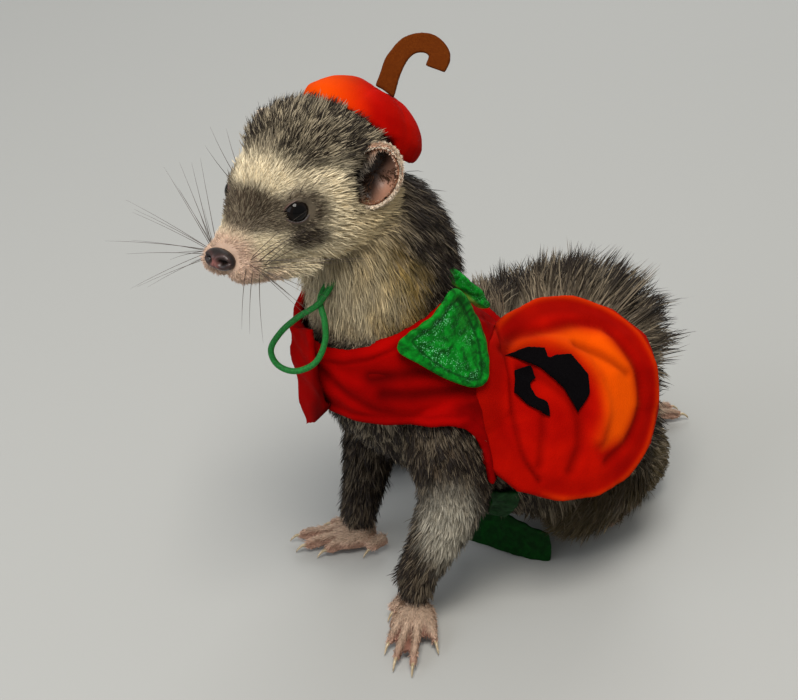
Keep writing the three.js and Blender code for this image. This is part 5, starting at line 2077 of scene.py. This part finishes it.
@dataclass(frozen=True)
class Crease:
    """A soft line on the panel's face, to the tail and up: its reach, height, painted shade and share of
    painted orange highlight.
    """

    line: tuple[tuple[float, float], ...]
    reach: float
    height: float
    shade: float
    glow: float = 0.0

    def on(self, flat: Array) -> Array:
        """Its effect at points of the face, in rows of height, painted shade and painted orange highlight."""
        off = line_distance(flat, resampled(spline(self.line, 10), 60), 4 * self.reach)
        return np.outer((self.height, self.shade, self.glow), bump(off, 0, self.reach))


# The band round the middle, a ridge, a wedge, a cleft, the seam to the vest and a pleat
# Shade is painted along the sunk lines, orange highlight along the ridge.
CREASES = (
    Crease(((-22, 22), (-14, 25), (-4, 24), (8, 23.5), (18.8, 19.6), (25.5, 5), (25.5, -10), (17, -20),
            (6, -25)), 2.0, -1.3, 0.5),
    Crease(((-19, 22), (-8, 21.5), (2, 15.5), (8, 5), (8.5, -7), (3, -16)), 2.6, 1.5, 0, 0.25),
    Crease(((5, 16), (13, 10.5), (21, 2)), 1.7, -1.2, 0.5),
    Crease(((-18, 13), (-9, 7), (-3, -3), (-4, -15), (-9, -24)), 2.2, -1.3, 0.45),
    Crease(((-19.1, 30), (-22.9, 13.4), (-25.1, 0), (-25, -14), (-21, -24)), 0.9, -1.1, 0.55),
    Crease(((-15, -3), (-17.5, -11), (-20, -19)), 1.6, -0.9, 0.4),
)
# The crescent of painted orange highlight on the plush
HIGHLIGHT_CRESCENT = np.array([
    (-6, 23), (8, 22.5), (18, 18.6), (24.5, 5), (24.5, -10), (14, -20), (4, -20), (7, -9), (9, 4), (3, 15)])


def panel_form(points: Array) -> tuple[Array, Array, Array]:
    """The stuffed pumpkin front: a thin piped rim, a flat band and a puffed middle with curved folds.

    Args:
        points: places on the panel or the felt.
    Returns:
        How far the face stands out there, its painted shade and its share of painted orange highlight.
    """
    flat = PANEL.flat(points)[:, :2]
    off = np.hypot(flat[:, 0] / PANEL_RADIUS[0], flat[:, 1] / PANEL_RADIUS[1])
    piping = bump(off, 0.965, 0.03) * ramp(flat[:, 0], -24, -12)
    out, shade, glow = sum(crease.on(flat) for crease in CREASES)
    out = out + 0.7 * piping + 1.6 * (1 - ramp(off, 0.25, 0.9))
    # Painted shade in a band inside the rim, deeper to one side, and painted orange highlight over the
    # crescent, the ridge and the piping.
    shade = shade + 0.4 * ramp(off, 0.74, 0.84) * (1 - piping) * (0.55 + 0.45 * ramp(flat[:, 1], 0, 20))
    crescent_highlight = ramp(-outline_distance(flat, HIGHLIGHT_CRESCENT), -2.5, 4.5) * (0.75 + 0.25 * ramp(flat[:, 0], 0, 20))
    return out, np.clip(shade, 0, 0.85), np.clip(glow + crescent_highlight + 0.25 * piping, 0, 1)


@dataclass
class Panel(Garment):
    """The round pumpkin panel."""

    plane: ClassVar[Plane] = PANEL

    def cut(self, flat: Array, faces: Array) -> Array:
        """A little wider to the tail and less tall, as the stuffing pulls it."""
        flat[:, 0] = flat[:, 0] * np.where(flat[:, 0] < 0, 1.13, 1.045) + 0.9
        flat[:, 1] *= 0.975
        return flat

    def relief(self, points: Array, normal: Array) -> tuple[Array, Array, Array]:
        """Raises the outside alone."""
        out, shade, glow = panel_form(points)
        outside = ramp(normal @ PANEL.axes[2], 0.0, 0.45)
        return out * outside, shade, glow


@dataclass
class FeltShape(Garment):
    """A felt cut-out sewn on the panel, which follows the panel's form."""

    plane: ClassVar[Plane] = PANEL

    def cut(self, flat: Array, faces: Array) -> Array:
        """The outline eased to smooth curves, as scissors cut it."""
        flat[:, :2] = relaxed(flat, faces, 10, 0.6)[:, :2]
        flat[:, :2] = flat[:, :2].mean(axis=0) + (flat[:, :2] - flat[:, :2].mean(axis=0)) * 1.04
        return flat

    def build(self) -> bpy.types.Object:
        """Makes the piece and carries it out as far as the plush below it stands out."""
        made = super().build()
        points = read_array(made.data.vertices, "co", 3).reshape(-1, 3)
        points = points + panel_form(points / MM)[0][:, None] * PANEL.axes[2] * MM
        made.data.vertices.foreach_set("co", points.astype(np.float32).ravel())
        made.data.update()
        return made


@dataclass
class Vest(Garment):
    """The red velour yoke: hemmed, with soft folds from the neck and two creases over the shoulder."""

    creases: tuple[tuple[tuple[float, float, float], ...], ...] = (
        ((25.9, -122.3, 104), (31.3, -107.8, 104.5), (33.5, -91, 103)),
        ((28, -119, 98), (32.8, -105.2, 96.5), (34, -88.8, 95)))

    def relief(self, points: Array, normal: Array) -> tuple[Array, Array, Array]:
        """Folds that fan down from the neckline, and a rolled hem."""
        edge = -outline_distance(points[:, 1:], YOKE)
        hem = bump(edge, 1.4, 1.2) * 0.6
        stitch = bump(edge, 3.2, 0.5) * 0.3
        slant = folds(points, (0.1, 0.2, 0.97), 15, 0.4)
        inside = ramp(edge, 2, 7)
        lines = [resampled(np.array(line, float), 30) for line in self.creases]
        sunk = sum(bump(line_distance(points, line, 12), 0, 2.6) for line in lines)
        sag = 0.85 * slant + 0.35 * folds(points, (0.8, 0.6, 0.1), 19, 2.4)
        # Painted shade in the stitch groove and the folds' hollows, and below in the two shoulder creases.
        shade = np.clip(0.4 * stitch - 0.6 * slant * inside, 0, 1)
        out = hem - stitch + sag * inside - 1.1 * sunk
        return out, np.clip(shade + 0.7 * sunk, 0, 1), np.zeros(len(points))

    def mesh(self) -> tuple[Array, Array]:
        """The solid, cut down at the nape, where leaves and fur close over it, and above the strap."""
        points, faces = super().mesh()
        points[:, 2] = np.clip(points[:, 2], VEST_FOOT, nape_edge(points))
        return points, faces


@dataclass
class Leaf(Garment):
    """A green velvet leaf: crumpled pile and a rolled, stitched edge.

    The shiny patches, where glints are painted, have a place on the leaf and a size, the tips a place, a pull
    and a reach.
    """

    shiny: tuple[tuple[float, float, float], ...] = (
        (-12, 4, 3), (-9, 7, 3), (-6, 10, 3), (-4, 13, 2.5), (-8, -1, 3.5), (-3, -3, 3), (3, 5, 2.5),
        (4, -7, 2.5))
    tips: tuple[tuple[float, float, float, float, float], ...] = (
        (-17.5, 3, -2.4, -1.4, 6), (8.6, -10.5, -0.5, 0.8, 5), (-1.5, 19.5, 0, 0.8, 4))

    def relief(self, points: Array, normal: Array) -> tuple[Array, Array, Array]:
        """Crumples the cloth and rolls its edge."""
        flat = PICTURE.flat(points - np.array(self.shift))[:, :2]
        edge = -outline_distance(flat, spline(LEAF, 12, closed=True))
        crumple = folds(points, (0.8, 0.5, 0.3), 9, 0.7) * 0.3
        crumple = crumple + folds(points, (0.1, 0.6, 0.8), 5, 1.9) * 0.14
        hem = bump(edge, 1.1, 1.0) * 0.75
        # Painted glints over the shiny patches, kept off the rolled edge; the shade row draws a dark line
        # along the stitching.
        shine = sum(bump(np.hypot(flat[:, 0] - x, flat[:, 1] - y), 0, reach) for x, y, reach in self.shiny)
        return crumple + hem, 0.8 * bump(edge, 2.6, 0.45), np.clip(shine, 0.08, 1) * ramp(edge, 1.2, 2.4)

    def cut(self, flat: Array, faces: Array) -> Array:
        """The tips drawn out."""
        drawn = [bump(np.hypot(flat[:, 0] - x, flat[:, 1] - y), 0, reach)[:, None] * (aside, up, 0)
                 for x, y, aside, up, reach in self.tips]
        return flat + sum(drawn)


@dataclass
class Crumpled(Garment):
    """A smaller strip of cloth, a little crumpled."""

    across: tuple[float, float, float] = (0, 0.4, 0.9)
    size: float = 7
    depth: float = 0.4
    # How much of the finish's painted glints the strip shows.
    sparkle: float = 0.0

    def relief(self, points: Array, normal: Array) -> tuple[Array, Array, Array]:
        """Uneven folds across the strip."""
        none = np.zeros(len(points))
        return folds(points, self.across, self.size, 0.9) * self.depth, none, none + self.sparkle


@dataclass
class Flap(Crumpled):
    """The loose front end of the vest, cut to a slanting point, its inner half in shadow."""

    @staticmethod
    def shares(flat: Array) -> tuple[Array, Array]:
        """Shares across the flap and up it as the photograph sees it."""
        low, high = flat.min(axis=0), flat.max(axis=0)
        return tuple(((flat - low) / (high - low)).T[:2])

    def cut(self, flat: Array, faces: Array) -> Array:
        """Leaning to its point."""
        across, up = self.shares(flat)
        corner = np.maximum(0, 15 * (across - 0.42) - 34 * up) * (across > 0.42)
        return flat + np.stack([2.6 * (1 - up), corner, 0 * up], axis=1)

    def relief(self, points: Array, normal: Array) -> tuple[Array, Array, Array]:
        """Uneven folds, and a shade over the inner half."""
        out, _, accent = super().relief(points, normal)
        across, up = self.shares(PICTURE.flat(points))
        return out, 0.75 * ramp(across - 0.2 * up, 0.38, 0.66), accent


@dataclass
class TailEnd(Crumpled):
    """The loose end of the strap, which rises to the leg and runs to a point at its far corner."""

    def cut(self, flat: Array, faces: Array) -> Array:
        """Sheared and drawn out at the corner."""
        x, y = flat[:, 0].copy(), flat[:, 1].copy()
        rise = 4.2 * (1 - ramp(x, x.min() + 2, x.max() - 3))
        corner = bump(np.hypot(x - x.max(), y - y.min()), 0, 7)
        top = bump(np.hypot(x - x.max(), y - y.max()), 0, 8)
        flat[:, 0] += 1.4 * corner - 2.4 * top
        flat[:, 1] += rise - 1.2 * corner - 1.8 * top
        return flat


@dataclass
class RolledLeaf(Crumpled):
    """The second leaf, rolled so that its pale underside shows, and drawn out to the first one."""

    stretch: tuple[float, float] = (2.3, 1.15)
    grain: ClassVar[Array] = unit(np.array([(-0.78, 0.62), (0.62, 0.78)]))

    def cut(self, flat: Array, faces: Array) -> Array:
        """Longer from its lower end, along its grain, and a little wider."""
        end = np.array((flat[:, 0].max(), flat[:, 1].min()))
        flat[:, :2] = end + ((flat[:, :2] - end) @ self.grain.T * self.stretch) @ self.grain
        return flat

    def relief(self, points: Array, normal: Array) -> tuple[Array, Array, Array]:
        """Uneven folds, with the underside along the lower edge."""
        out, _, sparkle = super().relief(points, normal)
        along = PICTURE.flat(points)[:, :2] @ self.grain[1]
        return out, 0.85 * (1 - ramp(along, along.min() + 0.8, along.min() + 2.0)), sparkle


@dataclass
class Cap(Garment):
    """The puffy plush cap, gathered under its stem."""

    def relief(self, points: Array, normal: Array) -> tuple[Array, Array, Array]:
        """Ribs that fan out from the stem, softer to the brim."""
        x, y, z = CAP.flat(points).T
        turn = np.arctan2(y, x)
        off = np.hypot(x, y) / CAP_SIZE[0]
        ribs = np.abs(np.sin(3 * turn + 0.3)) ** 0.6
        gather = ramp(z, 0, 5) * (0.9 * ribs - 0.5) * bump(off, 0.55, 0.35)
        pinch = bump(off, 0, 0.22) * ramp(z, 4, 8) * 1.6
        crumple = folds(points, (0.7, 0.3, 0.6), 9, 0.2) * 0.3 * ramp(z, -3, 2)
        # Painted light: orange highlight on the side toward the lamp, painted shade on the far side and in
        # the pinch under the stem.
        right = (points - np.array(CAP.at)) @ np.array((0.44, 0.9, 0))
        lit = 1 - ramp(right, -13, 6)
        far = ramp(right, 4, 17)
        return gather - pinch + crumple + 0.6 * ramp(z, 0, 4), 0.35 * pinch + 0.25 * far, 0.7 * lit


def costume() -> list[Garment]:
    """The clothes, inner ones first."""
    velour = PileFinish("velour_red", "7c0000", "9a0200", "3c0000", 16, 0.42, 0.14)
    plush = PileFinish("plush_orange", "960400", "b40c00", "5c0200", 14, 0.5, 0.18, accent="e04e00")
    velvet = CrushedVelvetFinish()
    dull_velvet = CrushedVelvetFinish("strap_velvet_green", "012404", "013808", "001402", "064a16")
    turned_velvet = CrushedVelvetFinish("turned_velvet_green", edge="7f9c38")
    black = FeltFinish("felt_black", "040304", "0c0a0c")
    brown = FeltFinish("felt_brown", "4a1e06", "64300c")
    return [
        Vest("vest_velour", "vest_yoke", "velour_red", velour, 0.75,
             cloth=Cloth(160, 95, 8700, Held.DRAPED, ("ferret_skin",))),
        Flap("vest_front_flap", "vest_flap", "velour_red", velour, 0.6, across=(0.2, 0.2, 0.95), size=11,
             depth=0.6, cloth=Cloth(22, 36, 640, Held.DRAPED, ("vest_velour",))),
        Panel("pumpkin_front", "pumpkin_panel", "plush_orange", plush, 0.75, cloth=Padding(0.6)),
        FeltShape("grin_felt", "face_grin", "felt_black", black, 0.4, 4, shift=PANEL.shift(-2.9, -0.8, 0.5),
                  cloth=Cloth(33, 25, 265, Held.LAID, ("pumpkin_front",))),
        FeltShape("patch_felt", "face_patch", "felt_black", black, 0.4, 4, shift=PANEL.shift(-1.6, -0.5, 0.5),
                  cloth=Cloth(15, 19, 120, Held.LAID, ("pumpkin_front",))),
        Leaf("leaf_velvet", "leaf_near", "velvet_green", velvet, 0.4, 1, shift=PICTURE.shift(0.3, -3, 0.2),
             cloth=Cloth(32, 36, 820, Held.LAID, ("vest_velour",))),
        RolledLeaf("leaf_rolled", "leaf_back", "velvet_green", turned_velvet, 0.5, size=5, depth=0.35,
                   sparkle=0.25, shift=PICTURE.shift(-0.5, -6.6, 1.8),
                   cloth=Cloth(15, 26, 230, Held.FOLDED, ("vest_velour",))),
        Crumpled("strap_velvet", "belly_strap", "velvet_green", dull_velvet, 0.6, across=(0, 1, 0.1), size=6,
                 depth=0.25, cloth=Cloth(14, 120, 1600, Held.STRETCHED, ("ferret_skin",))),
        TailEnd("strap_tail", "strap_end", "velvet_green", dull_velvet, 0.5, across=(0.4, 0.5, 0), size=6,
                depth=0.3, cloth=Cloth(20, 30, 560, Held.DRAPED, ("strap_velvet",))),
        Cap("cap_plush", "cap", "plush_orange", plush, 0.8, 4, cloth=Padding(0.8)),
        Crumpled("stem_felt", "cap_stem", "felt_brown", brown, 0.5, 2, across=(0.3, 0, 0.9), size=8,
                 depth=0.15, cloth=Cloth(12, 40, 265, Held.FOLDED, ("cap_plush",))),
    ]


# The order of work

def furred(hide: Hide) -> None:
    """Colours the skin, gives it its finish and grows the coat on it and on the ears."""
    root, tip = Markings(hide).paint()
    skin = mesh_object("ferret_skin", hide.points, hide.faces)
    colour_points(skin, "coat", mix(root, tip, 0.6) * 0.8)
    skin.data.materials.append(SkinFinish().material())
    pairs = [f"{part}_{side.word}" for part in ("foreleg", "forepaw", "shank", "hindfoot") for side in Side]
    dress(skin, "fur_sable", "head", "neck", "chest", "rump", "tail_base", "tail_tip", *pairs)
    random = np.random.default_rng(COAT_SEED)
    coat = Coat(hide, CoatPlan(hide), root, tip, FurFinish().material())
    for layer in (UNDERFUR, GUARD):
        for piece in coat.blades(coat.sow(layer, random), layer, random):
            dress(piece, "fur_cream" if "head" in piece.name or "neck" in piece.name else "fur_sable")
            log.info("%s: %d triangles", piece.name, len(piece.data.polygons))
    for side in Side:
        ear = Ear(side)
        ear.build()
        ear.fuzz(coat, random)
        log.info("ear %s: %d hairs", side.word, ear.hairs)


def main() -> None:
    """Builds the scene."""
    logging.basicConfig(level=logging.INFO, format="%(message)s")
    FRAME.update(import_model())
    Studio().build()
    ChinCord().build()
    hide = Skin().build()
    log.info("skin: %d corners", len(hide.points))
    furred(hide)
    for piece in (Nose(), *map(Eye, Side), Whiskers(), Claws()):
        piece.build()
        log.info("%s made", type(piece).__name__)
    for garment in costume():
        piece = garment.build()
        log.info("%s: %d faces", piece.name, len(piece.data.polygons))


if __name__ == "__main__":
    main()
